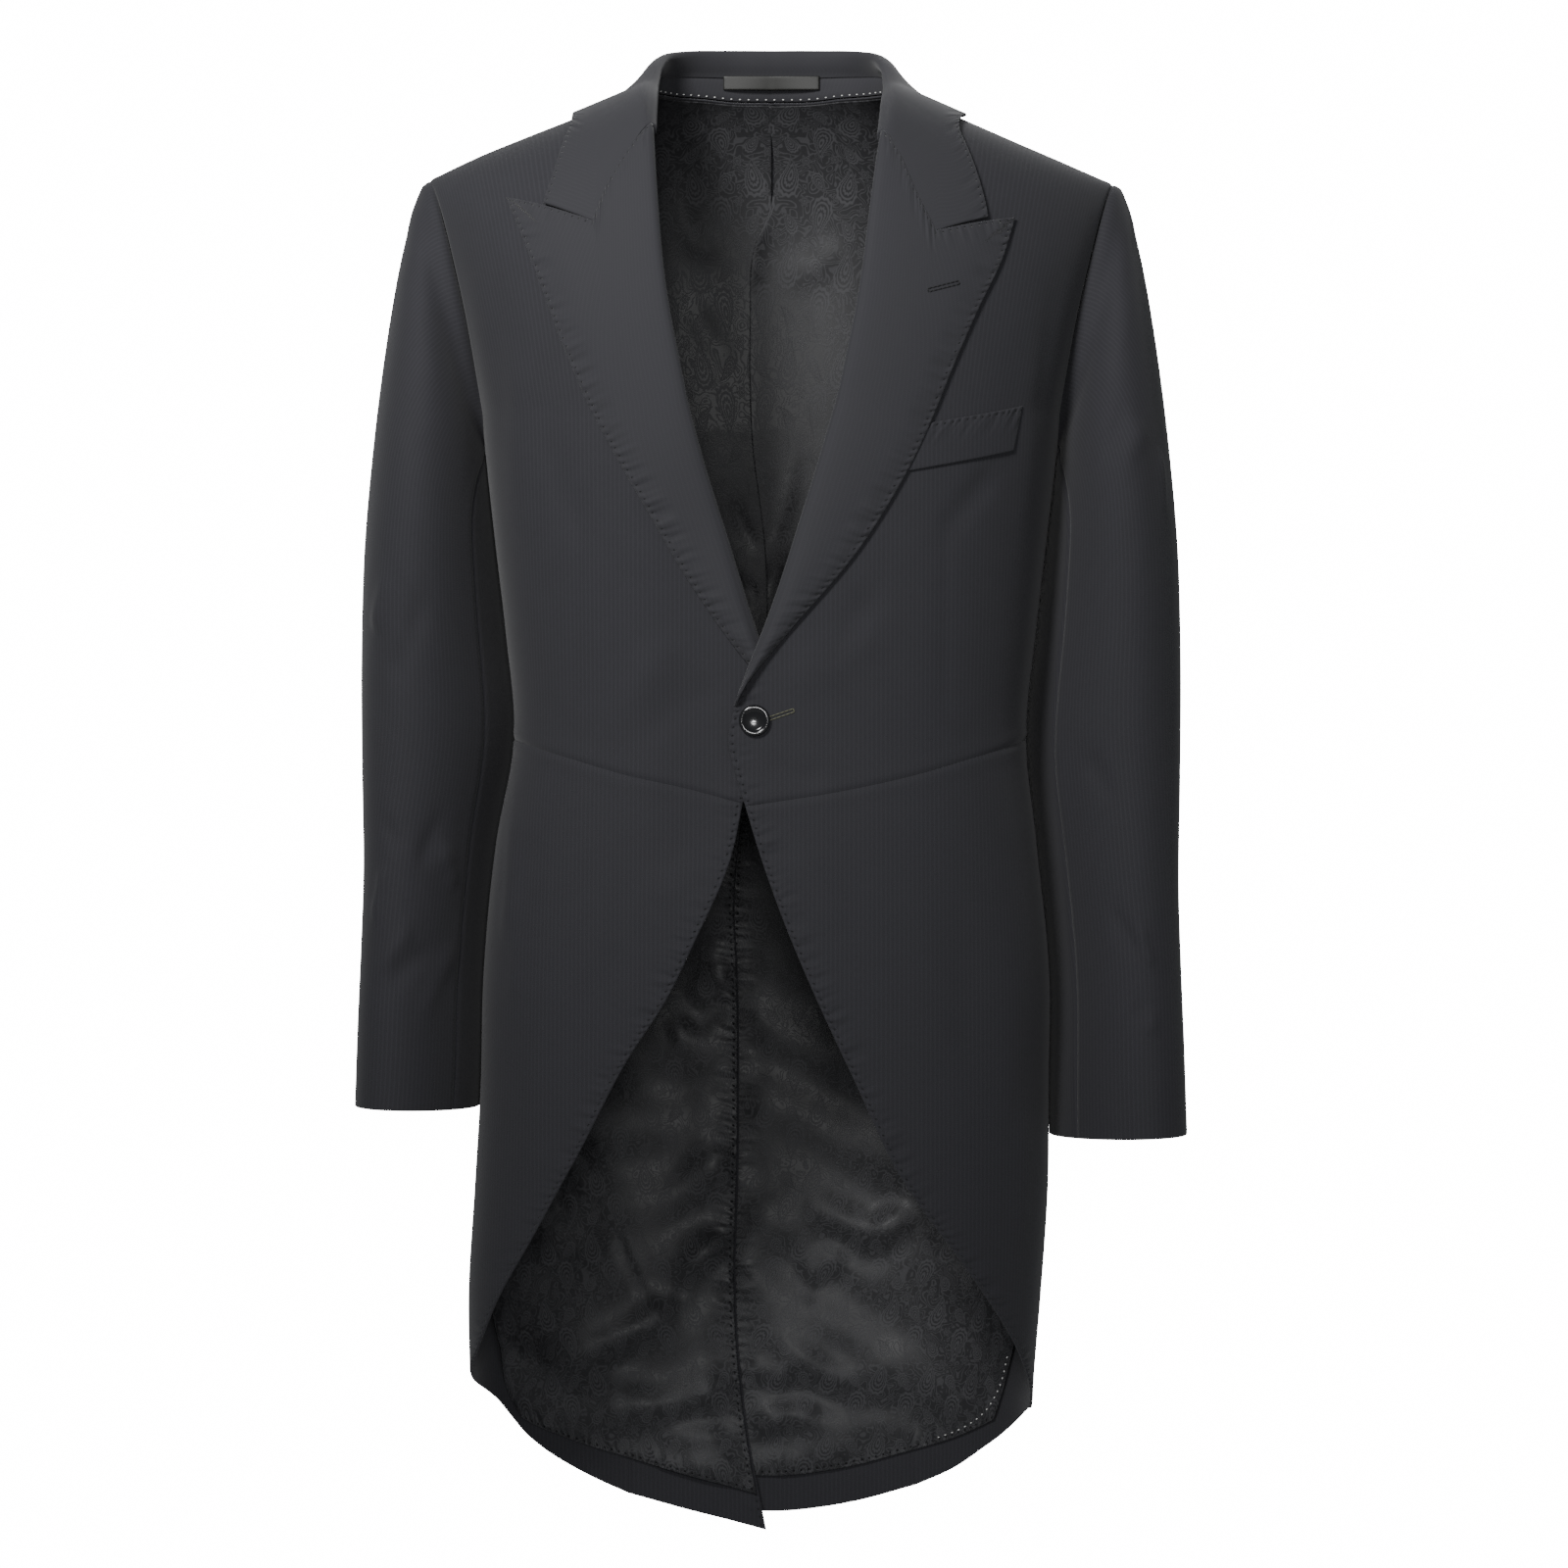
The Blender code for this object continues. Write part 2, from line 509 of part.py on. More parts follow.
def panels(side):
    """Grids of places for the shell's pieces of one side."""
    at = seams(side)
    at["armhole_front"][-1] = at["shoulder_front"][-1]
    at["armhole_back"][-1] = at["shoulder_back"][-1]
    grids = {
        "forepart": patch(
            at["waist_front"], joined(at["neck_front"], at["shoulder_front"]),
            at["front_edge"], joined(at["underarm"], at["armhole_front"])),
        "side_body": patch(at["waist_side"], at["armhole_foot"], at["underarm"], at["side_back"]),
        "skirt": patch(
            at["hem_skirt"], joined(at["waist_front"], at["waist_side"]),
            at["cutaway"][::-1], at["tail_seam"][::-1], hold=1),
        "back": patch(
            at["hem_back"][::-1], joined(at["neck_back"], at["shoulder_back"]),
            joined(at["vent"], at["centre_back"]),
            joined(at["tail_seam"][::-1], at["side_back"], at["armhole_back"])),
    }
    return at, grids


# ---------------------------------------------------------------- lapels and collar


# The turned edge of the lapel: across from the forepart's edge and up from it, under and over
NOSE = (
    (-0.0008, -0.0016, -0.0024, -0.0017),
    (-0.0013, 0.0004, -0.0030, 0.0007),
    (-0.0004, 0.0020, -0.0014, 0.0036),
)
LAPEL_COLS = 6


def add_lapel(side, at, finish):
    roll = at["roll"]
    edge = run(side, places(side, LAPEL_EDGE[side]), ROLL_ROWS)
    gorge = gorge_line(side, at, LAPEL_COLS // 2)
    notch = run(side, (gorge[-1], edge[-1]), LAPEL_COLS - LAPEL_COLS // 2)
    foot = run(side, (roll[0], edge[0]), LAPEL_COLS)
    grid = patch(foot, joined(gorge, notch), roll, edge)
    across = cloth(side, grid[:, 1]) - cloth(side, grid[:, 0])
    across /= np.linalg.norm(across, axis=-1, keepdims=True)
    normal = outward(side, grid[:, 0, 0], grid[:, 0, 1])
    at_roll = cloth(side, grid[:, 0])
    under, over = [], []
    for a, up, a_over, up_over in NOSE:
        under.append(at_roll + across * a + normal * up)
        over.append(at_roll + across * a_over + normal * up_over)
    for col in range(1, LAPEL_COLS + 1):
        under.append(cloth(side, grid[:, col], LAPEL_LIFT))
        over.append(cloth(side, grid[:, col], LAPEL_LIFT + WALL))
    add_sheet(f"lapel_{side}", np.stack(over, 1), np.stack(under, 1), finish)


def gorge_line(side, at, cells):
    return run(side, np.concatenate([at["roll"][-1:], places(side, GORGE[side][1:])]), cells)


def clear_of_form(point, least):
    """The point, moved out where it lies less than this off the yoke."""
    for _ in range(6):
        here = height_over(point)
        step = 0.0005
        slope = np.array([(height_over(point + step * d) - here) / step for d in np.eye(3)])
        steep = np.linalg.norm(slope)
        away = here / steep
        if away >= least:
            break
        point = point + slope / steep * (least - away)
    return point


def height_over(point):
    """Above 0 outside the yoke's form, below 0 inside it."""
    x, y, z = point
    top = ridge(x)[0]
    up = max((z - YOKE_FOOT) / (top - YOKE_FOOT), 0.0)
    share = np.interp(min(up, 1), OVER[1], OVER[0])
    half = smooth_between(YOKE, share)[0, 0]
    along = np.interp(min(abs(x) / half, 1), GIRTH[1], GIRTH[2])
    depth = BODY[-1, 3] if y < RIDGE_Y else BODY[-1, 4]
    deep = (abs(y - RIDGE_Y) / (depth * along + (RIDGE_Y if y < RIDGE_Y else -RIDGE_Y)))
    return (up**OVER_SQUARE + deep**OVER_SQUARE) ** (1 / OVER_SQUARE) - 1


def even_line(points, cells):
    """Points evenly spaced along a smooth curve in space."""
    points = np.asarray(points, float)
    gaps = np.linalg.norm(np.diff(points[:, :3], axis=0), axis=1)
    length = np.append(0, np.cumsum(gaps))
    return smooth_between(np.column_stack([length, points]), np.linspace(0, length[-1], cells + 1))


def collar_half(side, at):
    """Fold, outer edge and turn-in of one half of the collar leaf, from the centre back to its end."""
    sign = SIGN[side]
    corner = place(side, *COLLAR_CORNER[side])
    end = at["roll"][-1]
    roll_end = cloth(side, end[None])[0]
    fold = [(x * sign, y, z, turn_in) for x, y, z, turn_in in FOLD]
    middle = (fold[-1][:3] + roll_end) / 2 + np.array((0.0, -0.004, 0.002))
    fold += [(*middle, 0.0), (*roll_end, 0.0)]
    fold = even_line(fold, COLLAR_COLS)
    fold[:, 3] = np.clip(fold[:, 3], 0, 1)
    edge = list(cloth(side, places(side, COLLAR_BACK_EDGE[::-1], behind=True), LEAF_LIFT))
    shoulder = LEAF_SHOULDER_X * sign
    edge.append(np.array((shoulder, RIDGE_Y - 0.004, ridge(shoulder)[0] + LEAF_LIFT)))
    edge += list(cloth(side, places(side, COLLAR_EDGE[side][::-1]), LEAF_LIFT))
    edge += list(cloth(side, corner[None], LEAF_LIFT))
    edge = even_line(edge, COLLAR_COLS)
    gorge = gorge_line(side, at, 4 * LEAF_NOTCH_ROW)[1:]
    kept = np.linspace(0, len(gorge) - 1, LEAF_NOTCH_ROW + 1).round().astype(int)
    notch = run(side, (gorge[-1], corner), LEAF_ROWS - 1 - LEAF_NOTCH_ROW)
    end_line = joined(gorge[kept], notch)
    return fold, edge, cloth(side, end_line, LEAF_LIFT)


# The leaf's section in the back, where it turns inside, and at its front ends, where it hardly does:
# across from the fold and out from it
LEAF_TURN = np.array((
    (0.0140, -0.0050, -0.0008, -0.0048),
    (0.0042, -0.0048, -0.0028, -0.0030),
    (-0.0034, -0.0012, -0.0036, -0.0004),
    (-0.0008, 0.0022, -0.0010, 0.0024),
))


def leaf_section(fold, edge, tangent, share_end, end_line):
    """Points of the leaf across one column, from the inner seam to the outer edge."""
    across = edge - fold[:3]
    across /= np.linalg.norm(across)
    normal = np.cross(tangent, across)
    normal /= np.linalg.norm(normal)
    turn = LEAF_TURN[:, 2:] + (LEAF_TURN[:, :2] - LEAF_TURN[:, 2:]) * fold[3]
    points = [fold[:3] + across * a + normal * out for a, out in turn]
    start = fold[:3] + across * LEAF_START[0] + normal * LEAF_START[1]
    for i, t in enumerate(np.linspace(0, 1, LEAF_ROWS)):
        point = start + (edge - start) * t - normal * LEAF_SAG * 4 * t * (1 - t)
        point += (end_line[i] - point) * share_end
        points.append(clear_of_form(point, LEAF_LIFT))
    return points


def add_collar(all_at, finish):
    sections = []
    for side in ("right", "left"):
        fold, edge, end_line = collar_half(side, all_at[side])
        tangent = np.gradient(fold[:, :3], axis=0) * SIGN[side]
        half = []
        for i in range(COLLAR_COLS + 1):
            bend = max(0.0, 1 - (COLLAR_COLS - i) / LEAF_BEND_COLS)
            half.append(leaf_section(fold[i], edge[i], tangent[i], bend, end_line))
        half = np.array(half)
        back = half[-2] - half[-1]
        half[-1] += back / np.linalg.norm(back, axis=1)[:, None] * LEAF_END_GAP
        sections.append(half[::-1] if side == "right" else half[1:])
    middle = np.concatenate(sections)
    middle = np.moveaxis(middle, 0, 1)
    normal = sheet_normals(middle)
    outer = middle - normal * COLLAR_WALL / 2
    inner = middle + normal * COLLAR_WALL / 2
    add_sheet("collar_leaf", outer, inner, finish)
    return add_stand(all_at, middle[0], finish)


def add_stand(all_at, top, finish):
    """The inside of the collar, from the neck seam up to the leaf's turned-in edge."""
    keep = COLLAR_COLS - STAND_ENDS
    top = top[STAND_ENDS:-STAND_ENDS]
    neck = []
    for side in ("right", "left"):
        line = run(side, all_at[side]["neck_back"], keep)
        points = cloth(side, line, -0.0010)
        neck.append(points[::-1] if side == "right" else points[1:])
    neck = np.concatenate(neck) + np.array((0, 0, SEAM_GAP + LINING_GAP))
    top = top - np.array((0, 0, SEAM_GAP))
    rows = np.linspace(0, 1, 4)[:, None, None]
    middle = neck[None] * (1 - rows) + top[None] * rows
    normal = sheet_normals(middle)
    half = normal * STAND_WALL / 2
    add_sheet("collar_stand", middle - half, middle + half, finish)
    return neck, top


# ---------------------------------------------------------------- sleeves


def add_sleeve(side, at, finish):
    sign = SIGN[side]
    ring = joined(at["armhole_back"][::-1], at["armhole_foot"][::-1], at["armhole_front"])[:-1]
    start = cloth(side, ring)
    start_normal = outward(side, ring[:, 0], ring[:, 1])
    rows = smooth_between(
        np.column_stack([np.arange(len(SLEEVE)), SLEEVE]), np.linspace(0, len(SLEEVE) - 1, SLEEVE_ROWS + 1))
    drop = ramp(rows[:, 1], -0.30, -0.68) * CUFF_DROP[side]
    rows[:, 1] -= drop
    rows[:, 3] -= drop
    body_side = smooth_between(BODY, rows[:, 3])[:, 0 if side == "right" else 1]
    rows[:, 0] *= sign
    rows[:, 2] = (body_side + rows[:, 2]) * sign
    angle = ring_angles(start, rows[0])
    even = np.linspace(0, 2 * pi, len(angle), endpoint=False) + angle[0]
    points = []
    for i, (ox, oz, ix, iz, deep, middle, back) in enumerate(rows):
        blend = SLEEVE_BLEND[i] if i < len(SLEEVE_BLEND) else 1.0
        psi = angle + (even - angle) * ramp(i, 0, 6)
        half = np.array((ox - ix, -back, oz - iz)) / 2
        centre = np.array((ox + ix, 2 * middle, oz + iz)) / 2
        oval = centre + np.cos(psi)[:, None] * half + np.sin(psi)[:, None] * np.array((0, deep, 0))
        points.append(start + (oval - start) * blend)
    points = np.array(points)
    into = np.cross(start_normal, np.roll(start, -1, 0) - np.roll(start, 1, 0))
    into /= np.linalg.norm(into, axis=1)[:, None]
    into *= np.sign((into * (start.mean(0) - start)).sum(1))[:, None]
    points[0] += into * SLEEVE_GAP
    wrapped = np.concatenate([points[:, -1:], points, points[:, :1]], axis=1)
    normal = sheet_normals(wrapped)[:, 1:-1]
    outside = points - points.mean(axis=1, keepdims=True)
    if (normal[5] * outside[5]).sum() < 0:
        normal = -normal
    normal[0] += start_normal
    normal[0] /= np.linalg.norm(normal[0], axis=1)[:, None]
    for _ in range(2):  # so that the wall doesn't twist where the sleeve leaves the armhole
        normal[1:-1] = normal[:-2] + normal[1:-1] + normal[2:]
        normal /= np.linalg.norm(normal, axis=-1, keepdims=True)
    inner = points - normal * WALL
    front_seam = len(ring) - FORE_SEAM_COL
    top = np.r_[front_seam:len(ring), 0:HIND_SEAM_COL + 1]
    under = np.arange(HIND_SEAM_COL, front_seam + 1)
    for name, cols in (("top_sleeve", top), ("under_sleeve", under)):
        add_sheet(f"{name}_{side}", points[:, cols], inner[:, cols], finish, SLEEVE_GAP)


def ring_angles(start, row):
    """The angle of each armhole point round the first oval, growing from the shoulder to the back."""
    ox, oz, ix, iz, deep, middle = row[:6]
    half = Vector((ox - ix, 0, oz - iz)) / 2
    centre = Vector((ox + ix, 2 * middle, oz + iz)) / 2
    angles = []
    for point in start:
        off = Vector(point) - centre
        angles.append(atan2(off.y / deep, off.dot(half) / half.length_squared))
    return np.unwrap(np.array(angles))


# ---------------------------------------------------------------- linings and small pieces


def fold_depth(side, grid):
    """How far the folds of the tail lining stand in from its plain form."""
    points = on_form(side, grid[..., 0], grid[..., 1])[..., (0, 2)] * (SIGN[side], 1)
    depth = np.zeros(grid.shape[:2])
    for own, start, middle, end, half, deep in FOLDS:
        if own != side:
            continue
        line = np.array((start, middle, end))
        nearest = np.full(depth.shape, np.inf)
        for a, b in zip(line, line[1:]):
            way = b - a
            share = np.clip(((points - a) @ way) / (way @ way), 0, 1)[..., None]
            nearest = np.minimum(nearest, np.linalg.norm(points - a - way * share, axis=-1))
        depth += deep * np.exp(-((nearest / half) ** 2))
    return depth


def add_linings(side, grids, finish):
    lift = -(WALL + LINING_GAP)
    back = grids["back"]
    body = back[TAIL_ROWS:].copy()
    lifts = np.full(body.shape[:2], lift)
    if side == "left":
        body[:, 0] = run(side, places(side, PLEAT, behind=True)[::-1], len(body) - 1)
        lifts[:, :2] -= PLEAT_LIFT
    add_shell(f"back_lining_{side}", side, body, finish, LINING_WALL, lifts)
    skirt = grids["skirt"][:, ::-1][:, 1 : LINING_SKIRT_COLS + 1]
    tail = np.concatenate([back[: TAIL_ROWS + 1], skirt], axis=1)
    tail[:, 0] += (tail[:, 1] - tail[:, 0]) * LINING_SET_BACK
    rows = np.linspace(LINING_HEM, LINING_TOP, LINING_ROWS + 1) * TAIL_ROWS
    low = np.floor(rows).astype(int).clip(0, TAIL_ROWS - 1)
    part = (rows - low)[:, None, None]
    tail = tail[low] * (1 - part) + tail[low + 1] * part
    lifts = lift - fold_depth(side, tail)
    add_shell(f"tail_lining_{side}", side, tail, finish, LINING_WALL, lifts)


def add_welt(finish):
    side = "left"
    top = run(side, places(side, WELT[:2]), 4)
    bottom = run(side, places(side, WELT[2:]), 4)
    inner = run(side, places(side, (WELT[2], WELT[0])), 2)
    outer = run(side, places(side, (WELT[3], WELT[1])), 2)
    grid = patch(bottom, top, inner, outer)
    add_shell("breast_welt", side, grid, finish, WELT_WALL, WELT_LIFT)


def frame_at(point, out):
    """A matrix whose Z points out of the cloth at this point."""
    turn = Vector(out).to_track_quat("Z", "Y").to_matrix().to_4x4()
    return Matrix.Translation(Vector(point)) @ turn


def add_button(finish):
    spot = place("left", *BUTTON_AT)
    normal = outward("left", spot[:1], spot[1:])[0]
    base = cloth("left", spot[None], 0.0004)[0]
    profile = (
        (0.0, BUTTON_HIGH - 0.0014), (BUTTON_WELL_R, BUTTON_HIGH - 0.0012),
        (BUTTON_WELL_R + 0.0012, BUTTON_HIGH), (BUTTON_R - 0.0006, BUTTON_HIGH),
        (BUTTON_R, BUTTON_HIGH - 0.0008), (BUTTON_R - 0.0012, 0.0006), (0.0040, 0.0), (0.0, 0.0),
    )
    bm = bmesh.new()
    ring = [bm.verts.new((r, 0, z)) for r, z in profile]
    edges = [bm.edges.new(pair) for pair in zip(ring, ring[1:])]
    bmesh.ops.spin(
        bm, geom=ring + edges, cent=(0, 0, 0), axis=(0, 0, 1), angle=2 * pi, steps=20, use_merge=True)
    bmesh.ops.remove_doubles(bm, verts=bm.verts[:], dist=0.00005)
    button = add_mesh("front_button", bm, finish)
    button.matrix_world = frame_at(base, normal)
    for i in range(4):
        bm = bmesh.new()
        spot_at = Matrix.Rotation(pi / 4 + i * pi / 2, 4, "Z") @ Vector((BUTTON_HOLE_AT, 0, 0.0015))
        bmesh.ops.create_cone(
            bm, cap_ends=True, segments=8, radius1=BUTTON_HOLE_R, radius2=BUTTON_HOLE_R, depth=0.008,
            matrix=Matrix.Translation(spot_at))
        cutter = add_mesh(f"thread_hole_cutter_{i}", bm, finish)
        cutter.matrix_world = button.matrix_world
        PART.objects.unlink(cutter)
        CUTTERS.objects.link(cutter)
        cutter.hide_render = True
        cutter.display_type = "WIRE"
        cut = button.modifiers.new(f"thread hole {i}", "BOOLEAN")
        cut.object = cutter
        cut.operation = "DIFFERENCE"


def add_hanger_loop(stand, finish):
    """A flat satin loop across the back of the stand, its middle standing a little off it."""
    neck, top = stand
    rows = []
    for share in np.linspace(-0.5, 0.5, 3):
        row = []
        for x in np.linspace(-LOOP_LONG / 2, LOOP_LONG / 2, 9):
            low = [np.interp(x, neck[:, 0], neck[:, i]) for i in (1, 2)]
            high = [np.interp(x, top[:, 0], top[:, i]) for i in (1, 2)]
            z = LOOP_Z + share * LOOP_WIDE
            y = low[0] + (high[0] - low[0]) * (z - low[1]) / (high[1] - low[1])
            bow = LOOP_BOW * (1 - (2 * x / LOOP_LONG) ** 4)
            row.append((x, y - LOOP_OFF - bow, z))
        rows.append(row)
    outer = np.array(rows)
    add_sheet("hanger_loop", outer, outer + np.array((0, LOOP_WALL, 0)), finish)


def main():
    clear_scene()
    wool = material("charcoal_wool", (0.035, 0.035, 0.040), 0.85)
    facing = material("facing_wool", (0.050, 0.050, 0.055), 0.80)
    satin = material("black_satin", (0.012, 0.012, 0.013), 0.35)
    horn = material("black_horn", (0.010, 0.010, 0.010), 0.25)
    ribbon = material("olive_satin", (0.16, 0.16, 0.13), 0.40)
    all_at = {}
    for side in ("right", "left"):
        at, grids = panels(side)
        all_at[side] = at
        for name, grid in grids.items():
            add_shell(f"{name}_{side}", side, grid, wool)
        add_lapel(side, at, facing)
        add_sleeve(side, at, wool)
        add_linings(side, grids, satin)
    stand = add_collar(all_at, facing)
    add_hanger_loop(stand, ribbon)
    add_welt(wool)
    add_button(horn)


main()
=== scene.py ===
"""Sewn cloth, linings, stitching, finishes and stage of a morning coat, filled out as worn.

Units are metres, +Z is up, the front faces -Y and +X is the wearer's left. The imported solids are
the frame, and each piece here is laid out again on the form of its own solid at a finer spacing,
with its edges, seams and creases worked into the cloth.

A place on the cloth is (turn, height). Turn runs round the body in degrees: 0 is the centre front,
90 the side and 180 the centre back. Height is z up to the foot of the yoke, and above it the length
of cloth that goes up and over the shoulder. Both are taken on the piece's own side.
"""

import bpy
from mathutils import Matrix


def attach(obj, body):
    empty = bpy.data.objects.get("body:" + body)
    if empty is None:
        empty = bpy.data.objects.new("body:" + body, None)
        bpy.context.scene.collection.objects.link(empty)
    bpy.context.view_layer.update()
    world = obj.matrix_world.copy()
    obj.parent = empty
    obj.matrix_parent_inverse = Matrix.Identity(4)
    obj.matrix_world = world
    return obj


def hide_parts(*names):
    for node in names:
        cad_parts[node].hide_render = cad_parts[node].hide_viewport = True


bl_info = {
    "name": "Morning coat",
    "version": (1, 0, 0),
    "blender": (4, 5, 0),
    "location": "View3D > Sidebar > Coat",
    "description": "Builds the sewn cloth, stitching and stage of a morning coat",
    "category": "Object",
}

from math import atan2, pi, radians

import bpy
import bmesh
import numpy as np
from mathutils import Matrix, Vector

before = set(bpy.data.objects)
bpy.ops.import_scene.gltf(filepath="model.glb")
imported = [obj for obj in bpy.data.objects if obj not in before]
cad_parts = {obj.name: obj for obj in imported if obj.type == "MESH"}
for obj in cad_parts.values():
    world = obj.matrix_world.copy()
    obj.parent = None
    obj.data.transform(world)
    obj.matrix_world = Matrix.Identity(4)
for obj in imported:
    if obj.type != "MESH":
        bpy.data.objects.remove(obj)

# Cloth
WALL = 0.0018  # shell cloth with its interlining
LINING_WALL = 0.0010
LINING_LIFT = -0.0034  # from the shell's outer side to the lining's outer side
CELL = 0.0042  # spacing of the cloth's points
EDGE_STEPS = np.array((0.0, 0.0004, 0.0012, 0.0026, 0.0048))  # points beside an edge
NOSE_REACH = 0.0030  # how far a turned edge stands in front of the edge that it wraps
LAPEL_LIFT = 0.0023  # from the forepart up to the underside of the lapel
LEAF_LIFT = 0.0034  # from the form up to the middle of the collar leaf
LAP_FRONT = 0.0070  # how far the right side is set in under the left, at the button
LAP_VENT = 0.0050  # and at the vent

# Rows and columns of the seams' own points
WAIST_ROWS = 28  # waist seam to armhole
YOKE_ROWS = 24  # armhole to shoulder seam
TAIL_ROWS = 40  # waist to hem
ROLL_ROWS = 40  # along the lapel's roll
NECK_COLS = 16
SHOULDER_COLS = 24
FRONT_COLS = NECK_COLS + SHOULDER_COLS
SIDE_COLS = 28

TURN_R = 0.0009  # radius of a turned edge
TURN_THIN = 0.2  # share of the wall that is left at the very edge
SEAM_DIP = 0.0007
SEAM_RIDGE = 0.0003
LINING_HEM = 0.045  # share of the tail below the lining's edge
LINING_TOP = 0.990  # and the share at its top
LINING_SET_BACK = 0.20  # of four columns, back from the vent's edge
LINING_SKIRT_COLS = 28  # columns of the skirt that the tail lining reaches over
SLEEVE_STEPS = 14  # steps down a sleeve, in which the next three are counted
SLEEVE_BLEND_AT = (0, 1, 2, 3)
SLEEVE_BLEND = (0, 0.65, 1.0, 1.0)  # how far the first rings have left the armhole's shape
SLEEVE_EVEN = 6  # where the points are evenly spread round the sleeve
LAPEL_CELLS = 30  # across a lapel
LEAF_FINE_ROWS = 40  # across the collar leaf, once its section is smoothed
STAND_ROWS = 14
VENT_FREE = (-0.425, -0.435)  # the back's edge is sewn above the first and free below the second

# Finishes: base colours, and the weave, the stitching and the lining's repeat in metres
WOOL = (0.0300, 0.0295, 0.0345)
FACING = (0.0340, 0.0335, 0.0385)
SATIN = (0.0275, 0.0273, 0.0293)
OLIVE = (0.0120, 0.0119, 0.0100)
SATIN_SPECULAR = 0.28
STRIPE_PITCH = 0.0030
TWILL_PITCH = 0.0012
STITCH_PITCH = 0.0054
STITCH_INSET = 0.0028
REPEAT = (0.036, 0.046)
DROPS = (  # centre, turn in degrees, half width and half height
    ((0.000, 0.000), 18, (0.0085, 0.0120)),
    ((0.018, 0.023), -162, (0.0085, 0.0120)),
    ((0.018, -0.004), 150, (0.0050, 0.0070)),
    ((0.001, 0.021), -30, (0.0050, 0.0070)),
)
ROSETTES = (  # centre, size
    ((0.0095, 0.0135), 0.0026), ((0.0270, 0.0095), 0.0028),
    ((0.0080, -0.0100), 0.0022), ((0.0275, -0.0140), 0.0024),
)
PAISLEY_TONE = 1.1  # how much lighter the lining's line work is than its ground

# Stage
KEY_AT = (-1.1, -2.4, 1.3)
KEY_AIM = (-0.12, 0.0, 0.05)
KEY_CONE = 35
KEY_RADIUS = 0.45
KEY_POWER = 450.0
FILL_AT = (0.05, -3.3, -0.2)
FILL_SIZE = 0.6
FILL_POWER = 30.0
RIM_AT = (0.3, 2.2, 1.8)
RIM_SIZE = 1.6
RIM_POWER = 15.0
SOFT_LIGHT = 0.15
BACKGROUND = 16.0
CAMERA_AT = (0.0086, -3.2, -0.462)
CAMERA_LENS = 109.1
SENSOR = 36.0
FLOOR_Z = -1.35
FLOOR_R = 1.5
MIDDLE = (0, 0, -0.45)  # of the coat, where the fill and rim lights aim
SKY = (0.90, 0.95, 1.0, 1)  # colour of the soft light

# Body
YOKE_FOOT = -0.215
YOKE_LENGTH = 0.26  # cloth from the yoke's foot to the shoulder line
SHOULDER_LINE = YOKE_FOOT + YOKE_LENGTH
RIDGE_Y = 0.012  # the shoulder line lies just behind the middle
GIRTH_SQUARE = 2.6  # squareness of the rounds: 2 is an ellipse
OVER_SQUARE = 2.5

# height, half width on the right, half width on the left, depth in front, depth behind
BODY = np.array((
    (-1.000, 0.2030, 0.1760, 0.112, 0.112),
    (-0.860, 0.2025, 0.1765, 0.114, 0.116),
    (-0.805, 0.2033, 0.1810, 0.115, 0.119),
    (-0.730, 0.1990, 0.1860, 0.116, 0.123),
    (-0.660, 0.1950, 0.1865, 0.117, 0.126),
    (-0.594, 0.1934, 0.1870, 0.118, 0.126),
    (-0.500, 0.1845, 0.1780, 0.117, 0.112),
    (-0.430, 0.1725, 0.1710, 0.116, 0.098),
    (-0.360, 0.1780, 0.1775, 0.119, 0.098),
    (-0.300, 0.1850, 0.1845, 0.123, 0.106),
    (-0.245, 0.1910, 0.1910, 0.126, 0.114),
    (-0.215, 0.1940, 0.1940, 0.126, 0.117),
))
# share of the way over the yoke, half width
YOKE = np.array(((0, 0.194), (0.2, 0.206), (0.4, 0.218), (0.6, 0.2277), (0.8, 0.234), (1, 0.236)))
# distance from the centre, height of the shoulder line on the right and on the left
RIDGE = np.array((
    (0, 0.030, 0.030), (0.045, 0.022, 0.022), (0.088, 0.004, 0.003), (0.130, -0.0135, -0.0153),
    (0.165, -0.027, -0.0304), (0.200, -0.041, -0.0450), (0.235, -0.0575, -0.0600), (0.260, -0.072, -0.0735),
))

# Places on the front, as (distance from the centre on the piece's own side, z)
FRONT_EDGE = {  # from the waist seam up to where the lapel starts to roll
    "right": ((0.0185, -0.4745), (0.002, -0.450), (-0.007, -0.430), (-0.006, -0.405)),
    "left": ((-0.0165, -0.4765), (-0.0226, -0.4563), (-0.0277, -0.4330), (-0.0255, -0.4090)),
}
ROLL_LINE = {
    "right": ((-0.006, -0.405), (0.0105, -0.3603), (0.0263, -0.3096), (0.0421, -0.259),
              (0.0548, -0.208), (0.0676, -0.138), (0.0731, -0.079), (0.0763, -0.031)),
    "left": ((-0.0255, -0.4090), (-0.0041, -0.3603), (0.0213, -0.2844), (0.0403, -0.221),
             (0.0562, -0.1445), (0.0647, -0.0793), (0.0709, -0.0361)),
}
LAPEL_EDGE = {
    "right": ((0.0000, -0.4010), (0.0187, -0.3794), (0.0549, -0.3286), (0.0804, -0.284),
              (0.124, -0.2013), (0.1357, -0.1733), (0.1517, -0.1299), (0.1739, -0.0762)),
    "left": ((-0.0187, -0.3984), (0.0086, -0.3667), (0.0594, -0.3064), (0.0849, -0.265),
             (0.1182, -0.190), (0.1344, -0.1528), (0.1503, -0.1195), (0.1593, -0.0910)),
}
